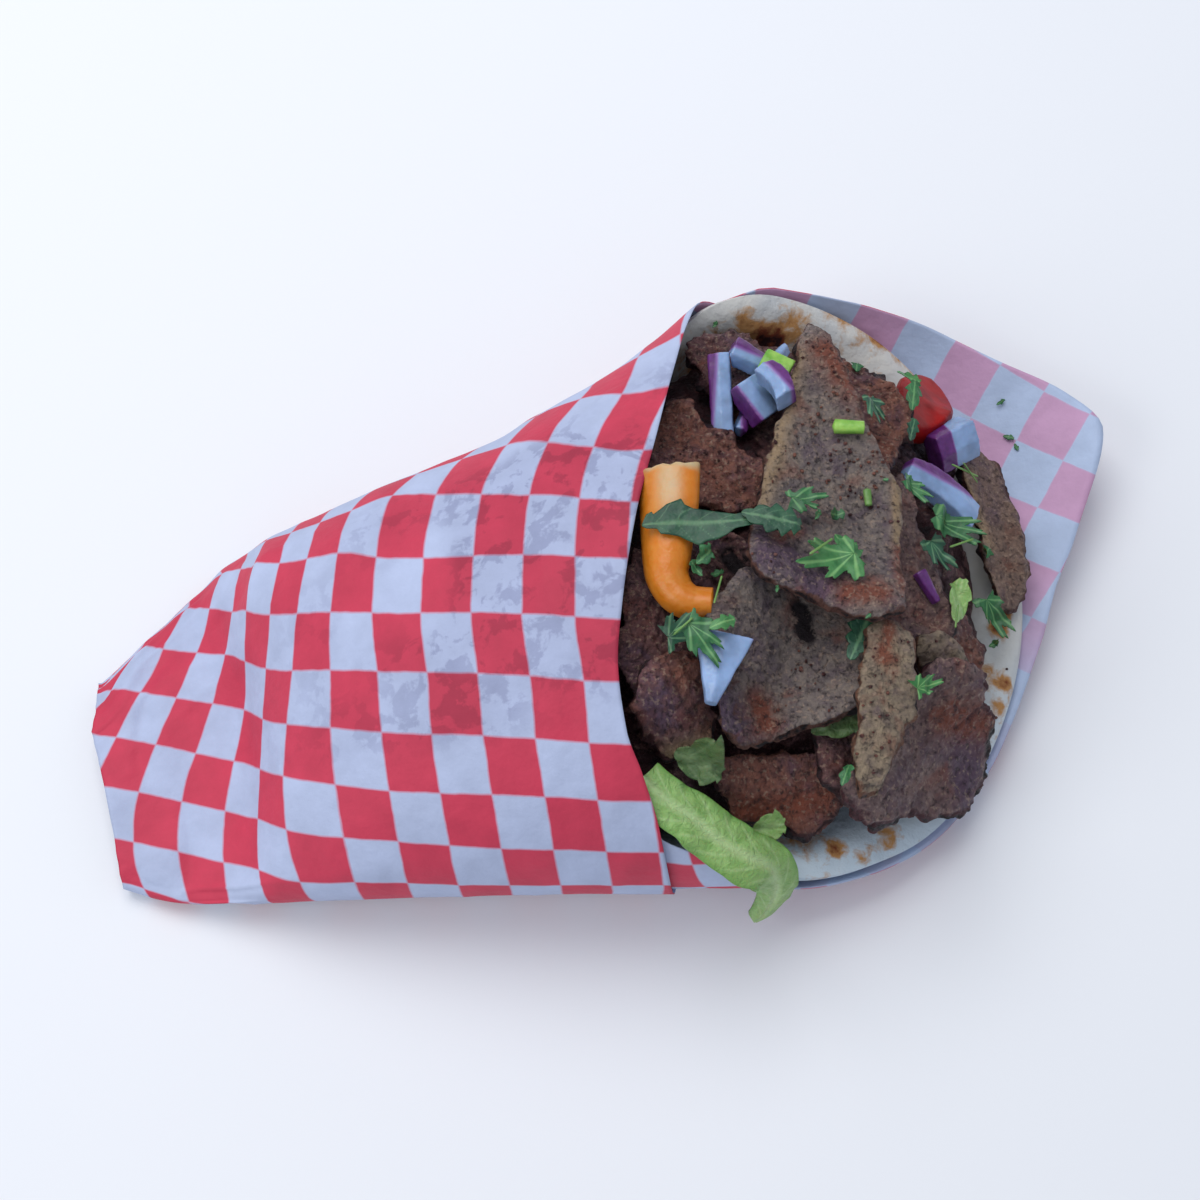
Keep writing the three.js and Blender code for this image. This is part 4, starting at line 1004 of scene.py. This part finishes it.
def pepper_paint(flesh):
    """Glossy flesh with faint flecks, pale where it is cut, with a painted highlight down its middle and
    painted shade at its side.
    """
    paint = Paint("Orange pepper flesh")
    # The pale mask is the cut end and a painted highlight down the middle.
    blush = paint.blend(paint.mask("pale"), shade(flesh), colour(190, 176, 138))
    # The deep mask is painted shade at one side and towards the lower end.
    blush = paint.blend(paint.mask("deep"), blush, shade(flesh, 0.55))
    flecks = paint.mottled(blush, colour(214, 146, 64), 2.2, 4.0, 0.35, 0.7)
    tone = paint.blend(0.35, blush, flecks)
    wrinkle = paint.bump(paint.noise(2.5, 3.0), 0.3)
    return paint.finish(Base_Color=tone, Roughness=0.36, Specular_IOR_Level=0.4, Normal=wrinkle,
                        Subsurface_Weight=0.15, Subsurface_Scale=0.003)


def make_pepper(settings):
    """The bent strip of pepper, torn at its straight end."""
    width = along([(0, 14), (0.5, 11), (0.75, 8.5), (1, 7)])
    thick = along([(0, 3.4), (0.05, 4.2), (0.8, 4.4), (1, 4)])
    points, faces = tube(PEPPER_PATH, width, thick, PEPPER_ARCH, PEPPER_LEAN, 110, 48)
    middle = (points.min(axis=0) + points.max(axis=0)) / 2
    points += np.mean(solid_box("pepper_strip"), axis=0) - middle + [0, 0, PEPPER_LIFT]
    from_top = points[:, 1].max() - points[:, 1]
    ragged = settings.ragged / MM * lumps(points, 1.5, 31) * (1 - smooth(from_top, 0, 2.5))
    points = points + np.array([0.2, 1, 0.3]) * ragged[:, None]
    middle = 1 - np.abs(points[:, 0] - PEPPER_MIDDLE) / 5
    cut = 1 - smooth(from_top, 0.5, 2.5)
    # A painted highlight down the middle of the strip near its top.
    inner = 0.75 * smooth(middle, 0.1, 0.9) * (1 - smooth(from_top, 6, 19))
    # Painted shade on one side and towards the lower end.
    side = smooth(-middle, -0.4, 0.1) * (points[:, 0] < 12)
    deep = 0.7 * np.clip(side + 0.3 * smooth(from_top, 18, 30), 0, 1)
    make("orange_pepper_strip", points, faces, pepper_paint(settings.flesh), "orange_pepper",
         ["pepper_strip"], pale=np.maximum(cut, inner), deep=deep)
    ground.lay(points)


def onion_paint(pale, purple):
    """Wet pale flesh that turns lilac and then purple towards its skin."""
    paint = Paint("Red onion")
    flesh = paint.mottled(shade(pale), shade(pale, 0.74), 4)
    lilac = paint.blend(paint.between(paint.mask("skin"), 0.05, 0.4), flesh, colour(134, 98, 162))
    outer = paint.mottled(shade(purple), shade(purple, 0.7), 1.6, 4.0)
    both = paint.blend(paint.between(paint.mask("skin"), 0.4, 0.8), lilac, outer)
    wet = paint.bump(paint.noise(1.2, 2.0), 0.12)
    return paint.finish(Base_Color=both, Roughness=0.3, Specular_IOR_Level=0.5, Normal=wet,
                        Subsurface_Weight=0.12, Subsurface_Scale=0.003)


# Each piece of onion: its CAD node, which way its purple skin faces, and where along that way,
# from -1 to 1, the skin's colour starts and is full.
ONIONS = [
    ("onion_bar", (-0.97, 0, 0.2), 0.25, 0.8), ("onion_far_wedge", (0.3, 0.9, 0.2), -0.1, 0.5),
    ("onion_sliver", (1, 0, 0), -0.6, 0.2), ("onion_block", (-0.7, -0.6, 0), 0.35, 0.85),
    ("onion_ring_piece", (0.8, 0.55, 0), -0.2, 0.5), ("onion_white_bit", (0, 1, 0), 0.8, 1.2),
    ("onion_right_cube", (-0.95, -0.3, -0.1), 0.0, 0.12),
    ("onion_right_crescent", (0.3, 0.95, 0), 0.1, 0.5),
    ("onion_right_chip", (0, 0, 1), -1.2, -0.6), ("onion_kite", (0.95, 0.1, -0.2), 0.75, 1.3),
]


def make_onions(settings):
    """The cut pieces of red onion."""
    paint = onion_paint(settings.flesh, settings.skin)
    for node, way, start, full in ONIONS:
        points, faces, _, normals = fine_copy(node, settings.cell / MM, 3)
        along_way = (points - points.mean(axis=0)) @ np.array(way)
        share = along_way / np.abs(along_way).max()
        points = points + normals * (0.12 * lumps(points, 2.2, 41))[:, None]
        make("red_" + node, points, faces, paint, "red_onion", [node],
             skin=smooth(share, start, full))
        ground.lay(points)


def tomato_paint(flesh):
    """Moist red flesh in lighter and darker patches."""
    paint = Paint("Tomato flesh")
    tone = paint.mottled(shade(flesh), shade(flesh, 0.62), 4)
    wet = paint.bump(paint.noise(4, 2.0), 0.15)
    return paint.finish(Base_Color=tone, Roughness=0.42, Specular_IOR_Level=0.2, Normal=wet,
                        Subsurface_Weight=0.1, Subsurface_Scale=0.004)


TOMATO_FULLER = np.array([0.08, 0.2, 0.0])  # than its solid, along x, y and z


def make_tomato(settings):
    """The tomato wedge at the far side of the mouth."""
    points, faces, _, _ = fine_copy("tomato_wedge", settings.cell / MM, 3)
    points = points + (points - points.mean(axis=0)) * TOMATO_FULLER
    make("ripe_tomato", points, faces, tomato_paint(settings.flesh), "tomato", ["tomato_wedge"])
    ground.lay(points)


# ---------------------------------------------------------------- lettuce

LETTUCE_PATH = [(6.5, -55.5, 52), (12, -60.8, 49.5), (17, -63.4, 47.5), (22.5, -67.6, 44.5),
                (28.8, -70.6, 41.5), (34.4, -72.4, 36), (36.3, -74.8, 26), (35.2, -76.6, 15),
                (33.2, -77.8, 7)]
LETTUCE_HANG = (-1.0, -0.1, 0)  # the way its width turns where it hangs down
LETTUCE_WIDE = along([(0, 9), (0.3, 12), (0.55, 12), (0.7, 9), (0.8, 7.5), (0.93, 5), (1, 2)])
STRIP_ROWS, STRIP_COLUMNS, STRIP_THICK = 130, 41, 0.5
# The small bits: CAD node, length, width, turn, curl, and whether it takes the darker lettuce paint,
# painted shade for bits lying low in the heap.
LETTUCE_BITS = [
    ("lettuce_under", 14, 9, 20, 1.2, True), ("lettuce_right_curl", 13, 6, 75, 1.2, False),
    ("lettuce_low_curl", 12, 8.5, -20, 1.8, True), ("lettuce_low_bit", 8, 6, 10, 1.2, False),
]


def lettuce_paint(name, pale, deep, rib, edge):
    """A lettuce leaf: mottled, with a paler rib and veins and a greener edge."""
    paint = Paint(name)
    tone = paint.mottled(colour(*pale), colour(*deep), 4, 4.0, rough=0.6, warp=0.5)
    ribbed = paint.math("MULTIPLY", paint.between(paint.mask("rib"), 0.55, 0.1), 0.75)
    tone = paint.blend(ribbed, tone, colour(*rib))
    tone = paint.blend(paint.between(paint.mask("edge"), 0.7, 1.0), tone, colour(*edge))
    ribs = paint.bump(paint.noise(1.8, 4.0, 0.6, 1.0), 0.8)
    return paint.finish(Base_Color=tone, Roughness=0.4, Specular_IOR_Level=0.4, Normal=ribs,
                        Subsurface_Weight=0.12, Subsurface_Scale=0.003)


def make_lettuce_strip(settings, paint):
    """The long strip that comes out of the heap and hangs over the near side."""
    path = np.array(LETTUCE_PATH) + SHIFT
    centre, share, _, side, up = strip_frame(path, STRIP_ROWS, LETTUCE_HANG)
    t, v = share[:, None], np.linspace(-1, 1, STRIP_COLUMNS)[None, :]
    out = np.abs(v) + 0 * t
    flat = np.stack([t * 60 + 0 * v, v * 6 + 0 * t, 0 * t * v], -1)
    frill = settings.frill / MM * (0.5 * lumps(flat, 5, 51) + 0.25 * lumps(flat, 2.5, 52))
    aside = LETTUCE_WIDE(t) / 2 * (v + 0.12 * out * lumps(flat, 4, 53))
    rise = 1.3 * (1 - v * v) - 0.5 * np.exp(-((v / 0.16) ** 2)) + out * frill
    top = centre[:, None] + side[:, None] * aside[..., None] + up[:, None] * rise[..., None]
    solid, faces = shell(top, top - up[:, None] * STRIP_THICK)
    veins = 0.25 + np.abs((t * 11 + out * 1.6) % 1 - 0.5) * 2
    make("lettuce_strip", solid, faces, paint, "lettuce", ["lettuce_leaf"],
         rib=both_faces(np.minimum(out * 1.8, veins)), edge=both_faces(out))


def make_lettuce(settings):
    """The hanging strip and the small bits in the heap."""
    fresh = lettuce_paint("Lettuce leaf", (150, 188, 112), (124, 166, 88), (184, 208, 150),
                          (112, 160, 78))
    # The same lettuce in darker tones: painted shade for the bits that lie in the heap.
    shaded = lettuce_paint("Lettuce in the heap", (96, 124, 74), (70, 98, 60), (126, 148, 106),
                           (70, 100, 56))
    make_lettuce_strip(settings, fresh)
    for k, (node, length, width, turn, curl, in_painted_shade) in enumerate(LETTUCE_BITS):
        low, high = solid_box(node)
        plan, rib = toothed_blade(length, width, 2.5, 0.25, k)
        points, faces = lay_leaf(plan, turn, (low + high) / 2, ground.sheet(1.5), 0.4, curl,
                                 LETTUCE_THICK, 60 + k, high[2] - 1)
        # Bits in the heap get the painted shade.
        make("crisp_" + node, points, faces, shaded if in_painted_shade else fresh, "lettuce", [node],
             rib=both_faces(rib + 0.2), edge=both_faces(rib))
        ground.lay(points)


# ---------------------------------------------------------------- parsley and chopped greens

# Leaf colours: blade, its paler patches, veins.
DARK = ((26, 64, 48), (44, 88, 62), (98, 138, 100))
TEAL = ((30, 72, 54), (48, 96, 70), (108, 152, 112))
BRIGHT = ((44, 104, 54), (74, 134, 76), (130, 180, 112))
MID = ((36, 88, 52), (58, 116, 70), (112, 164, 106))

# The long leaf over the pepper: how far its two sides reach from its rib, along its length.
LONG_UPPER = [(0, 0.2), (0.03, 2.4), (0.07, 2.9), (0.08, 2.2), (0.17, 4.4), (0.27, 5.6),
              (0.29, 4.2), (0.35, 3.2), (0.5, 2.4), (0.62, 1.6), (0.74, 2.3), (0.82, 2.9), (1, 1.2)]
LONG_LOWER = [(0, 0.2), (0.03, 0.8), (0.1, 1), (0.12, 2.2), (0.24, 2.8), (0.38, 5.2), (0.42, 4.4),
              (0.5, 4.0), (0.56, 3.2), (0.62, 1.8), (0.76, 1.1), (0.9, 2.8), (1, 0.6)]
LONG_AHEAD = np.array([3.25, 0, 0])  # how far its middle lies from that of its solid

# Each leaf: CAD node, form, length, width, turn, colours, curl. The place is the CAD leaf's.
PARSLEY = [
    ("parsley_over_pepper", "long", 31.5, 10.5, 2, DARK, 0.5),
    ("parsley_main_left", "blade", 14, 8, -12, DARK, 0.6),
    ("parsley_left_high", "fan", 9.5, 7.5, 20, DARK, 0.8),
    ("parsley_on_onion", "fan", 12.5, 8, -45, MID, 0.9),
    ("parsley_left_pale", "blade", 6.5, 3.8, 25, BRIGHT, 0.4),
    ("parsley_main_middle", "fan", 9.5, 7, 5, MID, 0.8),
    ("parsley_fan_high", "blade", 8, 6, -50, BRIGHT, 0.6),
    ("parsley_fan_low", "fan", 15, 11, 200, BRIGHT, 0.9),
    ("parsley_far_dark", "fan", 8, 5.5, -70, TEAL, 0.8),
    ("parsley_far_tip", "blade", 6.5, 4, -20, BRIGHT, 0.5),
    ("parsley_by_tomato", "blade", 9.5, 4.5, 80, MID, 0.5),
    ("parsley_under_tomato", "blade", 6.5, 3.4, 75, TEAL, 0.4),
    ("parsley_right_short", "fan", 8, 4.5, -30, MID, 0.7),
    ("parsley_right_long", "fan", 13.5, 7, -15, MID, 0.9),
    ("parsley_right_teal", "fan", 9, 6.5, -60, TEAL, 0.8),
    ("parsley_rim", "fan", 11.5, 7, -60, MID, 0.9),
    ("parsley_low_right", "fan", 7.5, 4.6, 30, BRIGHT, 0.7),
    ("parsley_middle_deep", "blade", 15, 8, 65, TEAL, 0.5),
]


def make_parsley(settings):
    """The parsley leaves, each laid over what is already there."""
    paints = {
        tones: leaf_paint("Parsley " + name, *tones)
        for name, tones in (("dark", DARK), ("teal", TEAL), ("bright", BRIGHT), ("middling", MID))
    }
    for k, (node, form, length, width, turn, tones, curl) in enumerate(PARSLEY):
        low, high = solid_box(node)
        middle, slack = (low + high) / 2, 2.2
        if form == "long":
            plan, rib = cut_leaf(length, LONG_UPPER, LONG_LOWER, 7)
            middle, slack = middle + LONG_AHEAD, 6.0
        elif form == "blade":
            plan, rib = toothed_blade(length, width, max(3, round(length / 3.2)), 0.45, k)
        else:
            plan, rib = cut_fan(length, width, 5, 0.5, k)
        points, faces = lay_leaf(plan, turn, middle, ground.sheet(slack), 0.5,
                                 curl * settings.curl, LEAF_THICK, 80 + 2 * k, high[2])
        make("fresh_" + node, points, faces, paints[tones], "parsley", [node],
             rib=both_faces(rib))
        ground.lay(points)


# Chopped bits that lie on top: x, y, length, width, turn.
LEAF_BITS = [
    (20, -8.4, 4.5, 4.2, 40), (18.6, -10.5, 4, 2.6, 130), (23.2, -9.4, 3, 2.6, 10),
    (49.5, 4.4, 4, 3, 20), (58.4, 48.9, 3, 3.4, 80), (89, 8.4, 3.2, 3.6, 60),
    (99, 54.6, 2.6, 1.2, 30), (100.8, 46, 3, 1.6, -20), (102.6, 43.5, 2, 1.2, -60),
    (90.4, -12, 2.2, 2, 20), (25.9, 63.5, 1.8, 1.2, 50), (49.3, -52.1, 4.5, 3, 70),
    (44.5, 1.8, 2.4, 1.4, 60), (61, 14, 1.4, 1, 0), (54, -21, 1.6, 1.1, 35), (35, -16, 1.5, 1, 80),
]
# Stems, and the spring onion's green: x and y of each end, and thickness.
STEMS = [
    (23.8, -12, 22, -18.5, 0.45), (13.5, -26.8, 17, -23.8, 0.5), (42, -9, 47, -4.5, 0.6),
    (56.8, 11.4, 57, 8, 1.8), (81, 27.6, 88, 27.4, 0.5), (84, 28.6, 88, 26.2, 0.4),
    (77, 3, 82, 5, 0.5), (77, -12, 76, -17, 0.5),
]
SPRING_ONION_BITS = [(50.2, 26.2, 56.6, 25.8, 3.2)]
CUT_THROUGH = 0.5  # the rib mask of what has no veins


def make_chopped_parsley(under, lift):
    """The small chopped bits, as one piece."""
    leaves, ribs = [], []
    for k, (x, y, length, width, turn) in enumerate(LEAF_BITS):
        plan, rib = toothed_blade(length, width, 2, 0.5, k, rows=22, columns=9)
        leaves.append(lay_leaf(plan, turn, (x, y), under, lift, 0.4, LEAF_THICK, 130 + k))
        ribs.append(both_faces(rib))
    points, faces = joined(leaves)
    make("chopped_parsley", points, faces, leaf_paint("Parsley chopped", *MID), "parsley",
         rib=np.concatenate(ribs))


def make_stems(name, stems, under, paint, slot):
    """Straight round stems, each laid clear over what is below it, as one piece."""
    parts = []
    for x0, y0, x1, y1, thick in stems:
        share = np.linspace(0, 1, 5)
        x, y = mix(x0, x1, share), mix(y0, y1, share)
        below = under(x, y)
        level = mix(below[0], below[-1], share)
        path = np.stack([x, y, level + max(0, np.max(below - level)) + 0.1 + thick / 2], -1)
        wide, high = along([(0, thick), (1, thick * 0.9)]), along([(0, thick * 0.8), (1, thick * 0.7)])
        parts.append(tube(path, wide, high, count=16, around=12))
    points, faces = joined(parts)
    make(name, points, faces, paint, slot, rib=np.full(len(points), CUT_THROUGH))


def make_greens(settings):
    """What is strewn on top: chopped parsley, stems and spring onion."""
    under = ground.sheet(1.0)
    make_chopped_parsley(under, settings.lift / MM)
    stalk = leaf_paint("Parsley stems", (92, 134, 66), (118, 156, 84), (150, 180, 110), 0.4)
    green = leaf_paint("Spring onion cut", (96, 158, 50), (150, 196, 90), (190, 214, 120), 0.35)
    make_stems("parsley_stems", STEMS, under, stalk, "parsley")
    make_stems("spring_onion_bit", SPRING_ONION_BITS, under, green, "spring_onion")
    points, faces, _, _ = fine_copy("spring_onion_chip", 0.3, 3)
    make("spring_onion_piece", points, faces, green, "spring_onion", ["spring_onion_chip"],
         rib=np.full(len(points), CUT_THROUGH))


# ---------------------------------------------------------------- crumbs

CRUMB_FIELD = (54, 0, 44, 60)  # the middle and the half sizes of the oval that they fall in
CRUMB_LOWEST = 12
STEEP = 1.0  # a rise within 1.5 mm that a crumb would roll off


def crumb_ball():
    """The points and faces of a small round lump with six sides."""
    turns = np.linspace(0, 2 * math.pi, 6, endpoint=False)
    points = [
        (math.cos(turn) * math.cos(height), math.sin(turn) * math.cos(height), math.sin(height))
        for height in (-1.0, 0.0, 1.0) for turn in turns
    ]
    faces = grid_faces(3, 6, ring=True).tolist()
    faces += [[18, (k + 1) % 6, k] for k in range(6)]
    faces += [[19, 12 + k, 12 + (k + 1) % 6] for k in range(6)]
    return np.array([*points, (0, 0, -1.0), (0, 0, 1.0)]), faces


def make_crumbs(settings):
    """Meat crumbs strewn over the meat and the pita beside it, as one piece."""
    draw = np.random.default_rng(settings.seed)
    under = ground.sheet(0.8)
    ball, faces = crumb_ball()
    around = np.array([(0, 0), (1.5, 0), (-1.5, 0), (0, 1.5), (0, -1.5)])
    middle_x, middle_y, half_x, half_y = CRUMB_FIELD
    parts = []
    while len(parts) < settings.count:
        x, y = draw.uniform(16, 96), draw.uniform(-60, 56)
        place = np.array([x, y, under(x, y) + 0.05])
        covered = place[2] > ground.bare(x, y) + 0.4
        steep = np.ptp(under(*(around + (x, y)).T)) > STEEP
        outside = ((x - middle_x) / half_x) ** 2 + ((y - middle_y) / half_y) ** 2 > 1
        if covered or steep or outside or place[2] < CRUMB_LOWEST:
            continue
        size = draw.uniform(0.22, 0.5) * np.array([1, 1, 0.7]) * draw.uniform(0.7, 1.3, 3)
        parts.append((ball * size * draw.uniform(0.8, 1.2, (len(ball), 1)) + place, faces))
    points, faces = joined(parts)
    make("meat_crumbs", points, faces, meat_paint("Meat crumbs", RUST, 0.1), "shaved_meat",
         crust=np.full(len(points), 0.4))


# ---------------------------------------------------------------- stage

CAMERA_TARGET = Vector((-0.001733, -0.003618, 0.030))
CAMERA_TILT, CAMERA_AWAY = math.radians(20), 0.4  # from looking straight down, and metres off
CAMERA_LENS, CAMERA_SENSOR = 51.72, 36.0
# The lamps: their setting, place and size in metres.
LAMPS = [("sky", (-0.25, 0.5, 1.1), 0.9), ("window", (-0.9, -0.4, 0.8), 0.6)]
SURROUNDINGS = (0.82, 0.88, 1.0, 1)


def make_floor():
    """A wide pale floor."""
    bpy.ops.mesh.primitive_plane_add(size=6.0, location=(0, 0, 0))
    floor = bpy.context.object
    floor.name = "floor"
    paint = Paint("Pale floor")
    floor.data.materials.append(paint.finish(Base_Color=colour(236, 238, 242), Roughness=0.9))


def make_camera(scene):
    """The camera, looking down at the wrap from its near side."""
    lens = bpy.data.cameras.new("Camera")
    lens.lens, lens.sensor_width = CAMERA_LENS, CAMERA_SENSOR
    lens.clip_start, lens.clip_end = 0.01, 20
    lens.dof.use_dof = False
    camera = bpy.data.objects.new("Camera", lens)
    scene.collection.objects.link(camera)
    away = Vector((0, -math.sin(CAMERA_TILT), math.cos(CAMERA_TILT))) * CAMERA_AWAY
    camera.location = CAMERA_TARGET + away
    camera.rotation_euler = (CAMERA_TILT, 0, 0)
    scene.camera = camera


def make_stage(scene, settings):
    """The floor, the camera, two soft lamps and pale surroundings."""
    make_floor()
    make_camera(scene)
    for name, place, size in LAMPS:
        light = bpy.data.lights.new(name, "AREA")
        light.energy, light.size = getattr(settings, name), size
        lamp = bpy.data.objects.new(name, light)
        scene.collection.objects.link(lamp)
        lamp.location = place
        lamp.rotation_euler = (-Vector(place)).to_track_quat("-Z", "Y").to_euler()
    world = bpy.data.worlds.new("Soft studio")
    world.use_nodes = True
    background = world.node_tree.nodes["Background"]
    background.inputs["Color"].default_value = SURROUNDINGS
    background.inputs["Strength"].default_value = settings.world
    scene.world = world
    scene.view_settings.view_transform = "Standard"


# ---------------------------------------------------------------- add-on


def colour_choice(name, description, red, green, blue):
    """A colour that a user may change."""
    return FloatVectorProperty(name=name, description=description, subtype="COLOR", min=0.0,
                               max=1.0, default=colour(red, green, blue)[:3])


def length_choice(name, description, default):
    """A length that a user may change; its default is in millimetres."""
    return FloatProperty(name=name, description=description, default=default * MM, min=0.0,
                         subtype="DISTANCE", unit="LENGTH")


def factor_choice(name, description, default, most):
    """A share or strength that a user may change."""
    return FloatProperty(name=name, description=description, default=default, min=0.0, max=most,
                         subtype="FACTOR")


def power_choice(name, description, default):
    """A lamp's power in watts that a user may change."""
    return FloatProperty(name=name, description=description, default=default, unit="POWER")


class PaperSettings(bpy.types.PropertyGroup):
    check_long: length_choice("Check length", "Length of a printed check along the wrap", 11.2)
    check_round: length_choice("Check width", "Width of a printed check round the wrap", 12.7)
    thickness: length_choice("Thickness", "Thickness of the sheet", 0.25)
    crinkle: length_choice("Crinkle", "Height of the small creases", 0.4)
    grease: factor_choice("Grease", "How much fat has soaked into the front of the sheet", 1.0, 1.0)
    red: colour_choice("Red", "Colour of the printed checks", 204, 60, 86)
    # The whites are set greyer and bluer than white paper: painted blue shade over the whole sheet.
    white: colour_choice("White", "Colour of the bare checks", 180, 191, 220)
    red_inside: colour_choice("Red inside", "Colour of the checks seen from inside", 204, 160, 194)
    # Also greyer and bluer than white paper: painted blue shade.
    white_inside: colour_choice("White inside", "Colour of the bare checks inside", 182, 198, 226)


class PitaSettings(bpy.types.PropertyGroup):
    puff: length_choice("Puff", "Height of the soft bumps in the bread", 0.7)


class MeatSettings(bpy.types.PropertyGroup):
    cell: length_choice("Cell", "Size of the cells a slice is remade in", 0.5)


class TomatoSettings(bpy.types.PropertyGroup):
    cell: length_choice("Cell", "Size of the cells the tomato is remade in", 0.5)
    flesh: colour_choice("Flesh", "Colour of the tomato", 160, 18, 15)


class PepperSettings(bpy.types.PropertyGroup):
    ragged: length_choice("Ragged end", "How far the torn end of the strip is broken up", 0.9)
    flesh: colour_choice("Flesh", "Colour of the pepper", 210, 120, 26)


class OnionSettings(bpy.types.PropertyGroup):
    cell: length_choice("Cell", "Size of the cells a piece of onion is remade in", 0.35)
    # The flesh is set bluer than onion flesh is: painted blue shade.
    flesh: colour_choice("Flesh", "Colour of the cut onion", 144, 172, 214)
    skin: colour_choice("Skin", "Colour of the onion's outer side", 104, 48, 120)


class LettuceSettings(bpy.types.PropertyGroup):
    frill: length_choice("Frill", "Height of the waves at a leaf's edge", 1.5)


class ParsleySettings(bpy.types.PropertyGroup):
    curl: factor_choice("Curl", "How strongly the leaves curl", 1.0, 2.0)


class GreensSettings(bpy.types.PropertyGroup):
    lift: length_choice("Lift", "How high the chopped bits stand off what they lie on", 0.35)


class CrumbSettings(bpy.types.PropertyGroup):
    count: IntProperty(name="Count", description="Number of crumbs", default=170, min=1)
    seed: IntProperty(name="Seed", description="Changes where the crumbs fall", default=7)


class StageSettings(bpy.types.PropertyGroup):
    sky: power_choice("Sky light", "Power of the large light above", 9.0)
    window: power_choice("Window light", "Power of the light at the side", 4.0)
    world: factor_choice("Surroundings", "Brightness of the surroundings", 0.5, 10.0)


class WRAP_OT_stage(bpy.types.Operator):
    """Sets up the floor, lights and camera"""

    bl_idname = "wrap.add_stage"
    bl_label = "Add Stage"

    def execute(self, context):
        make_stage(context.scene, context.scene.wrap_stage)
        return {"FINISHED"}


class WRAP_OT_paper(bpy.types.Operator):
    """Winds the checked paper round the wrap"""

    bl_idname = "wrap.add_paper"
    bl_label = "Add Paper"

    def execute(self, context):
        make_paper(context.scene.wrap_paper)
        return {"FINISHED"}


class WRAP_OT_pita(bpy.types.Operator):
    """Lays the folded pita in the paper"""

    bl_idname = "wrap.add_pita"
    bl_label = "Add Pita"

    def execute(self, context):
        make_pita(context.scene.wrap_pita)
        return {"FINISHED"}


class WRAP_OT_meat(bpy.types.Operator):
    """Piles the shaved meat in the pita"""

    bl_idname = "wrap.add_meat"
    bl_label = "Add Meat"

    def execute(self, context):
        make_heap()
        for piece in SLICES:
            make_slice(*piece, context.scene.wrap_meat.cell / MM)
        ground.bare = ground.sheet(0.8)
        return {"FINISHED"}


class WRAP_OT_pepper(bpy.types.Operator):
    """Lays the strip of orange pepper on top"""

    bl_idname = "wrap.add_pepper"
    bl_label = "Add Pepper"

    def execute(self, context):
        make_pepper(context.scene.wrap_pepper)
        return {"FINISHED"}


class WRAP_OT_onions(bpy.types.Operator):
    """Lays the pieces of red onion"""

    bl_idname = "wrap.add_onions"
    bl_label = "Add Red Onion"

    def execute(self, context):
        make_onions(context.scene.wrap_onions)
        return {"FINISHED"}


class WRAP_OT_tomato(bpy.types.Operator):
    """Tucks the tomato wedge under the meat"""

    bl_idname = "wrap.add_tomato"
    bl_label = "Add Tomato"

    def execute(self, context):
        make_tomato(context.scene.wrap_tomato)
        return {"FINISHED"}


class WRAP_OT_lettuce(bpy.types.Operator):
    """Lays the lettuce"""

    bl_idname = "wrap.add_lettuce"
    bl_label = "Add Lettuce"

    def execute(self, context):
        make_lettuce(context.scene.wrap_lettuce)
        return {"FINISHED"}


class WRAP_OT_parsley(bpy.types.Operator):
    """Lays the parsley leaves"""

    bl_idname = "wrap.add_parsley"
    bl_label = "Add Parsley"

    def execute(self, context):
        make_parsley(context.scene.wrap_parsley)
        return {"FINISHED"}


class WRAP_OT_greens(bpy.types.Operator):
    """Strews chopped parsley, stems and spring onion"""

    bl_idname = "wrap.add_greens"
    bl_label = "Add Chopped Greens"

    def execute(self, context):
        make_greens(context.scene.wrap_greens)
        return {"FINISHED"}


class WRAP_OT_crumbs(bpy.types.Operator):
    """Strews meat crumbs"""

    bl_idname = "wrap.add_crumbs"
    bl_label = "Add Crumbs"

    def execute(self, context):
        make_crumbs(context.scene.wrap_crumbs)
        return {"FINISHED"}


STEPS = [WRAP_OT_stage, WRAP_OT_paper, WRAP_OT_pita, WRAP_OT_meat, WRAP_OT_tomato, WRAP_OT_pepper,
         WRAP_OT_onions, WRAP_OT_lettuce, WRAP_OT_parsley, WRAP_OT_greens, WRAP_OT_crumbs]
SETTINGS = {"wrap_stage": StageSettings, "wrap_paper": PaperSettings, "wrap_pita": PitaSettings,
            "wrap_meat": MeatSettings, "wrap_tomato": TomatoSettings, "wrap_pepper": PepperSettings,
            "wrap_onions": OnionSettings, "wrap_lettuce": LettuceSettings,
            "wrap_parsley": ParsleySettings, "wrap_greens": GreensSettings, "wrap_crumbs": CrumbSettings}


class WRAP_PT_panel(bpy.types.Panel):
    """Lists the pieces and their settings"""

    bl_label = "Gyro Wrap"
    bl_idname = "WRAP_PT_panel"
    bl_space_type = "VIEW_3D"
    bl_region_type = "UI"
    bl_category = "Gyro Wrap"

    def draw(self, context):
        for step in STEPS:
            self.layout.operator(step.bl_idname)
        for name, group in SETTINGS.items():
            settings = getattr(context.scene, name)
            for key in group.__annotations__:
                self.layout.prop(settings, key)


CLASSES = [*SETTINGS.values(), *STEPS, WRAP_PT_panel]


def register():
    for kind in CLASSES:
        bpy.utils.register_class(kind)
    for name, group in SETTINGS.items():
        setattr(bpy.types.Scene, name, PointerProperty(type=group))


def unregister():
    for name in SETTINGS:
        delattr(bpy.types.Scene, name)
    for kind in reversed(CLASSES):
        bpy.utils.unregister_class(kind)


def main():
    """Makes the pieces in order."""
    register()
    bpy.ops.wrap.add_stage()
    bpy.ops.wrap.add_paper()
    bpy.ops.wrap.add_pita()
    bpy.ops.wrap.add_meat()
    bpy.ops.wrap.add_tomato()
    bpy.ops.wrap.add_pepper()
    bpy.ops.wrap.add_onions()
    bpy.ops.wrap.add_lettuce()
    bpy.ops.wrap.add_parsley()
    bpy.ops.wrap.add_greens()
    bpy.ops.wrap.add_crumbs()


if __name__ == "__main__":
    main()
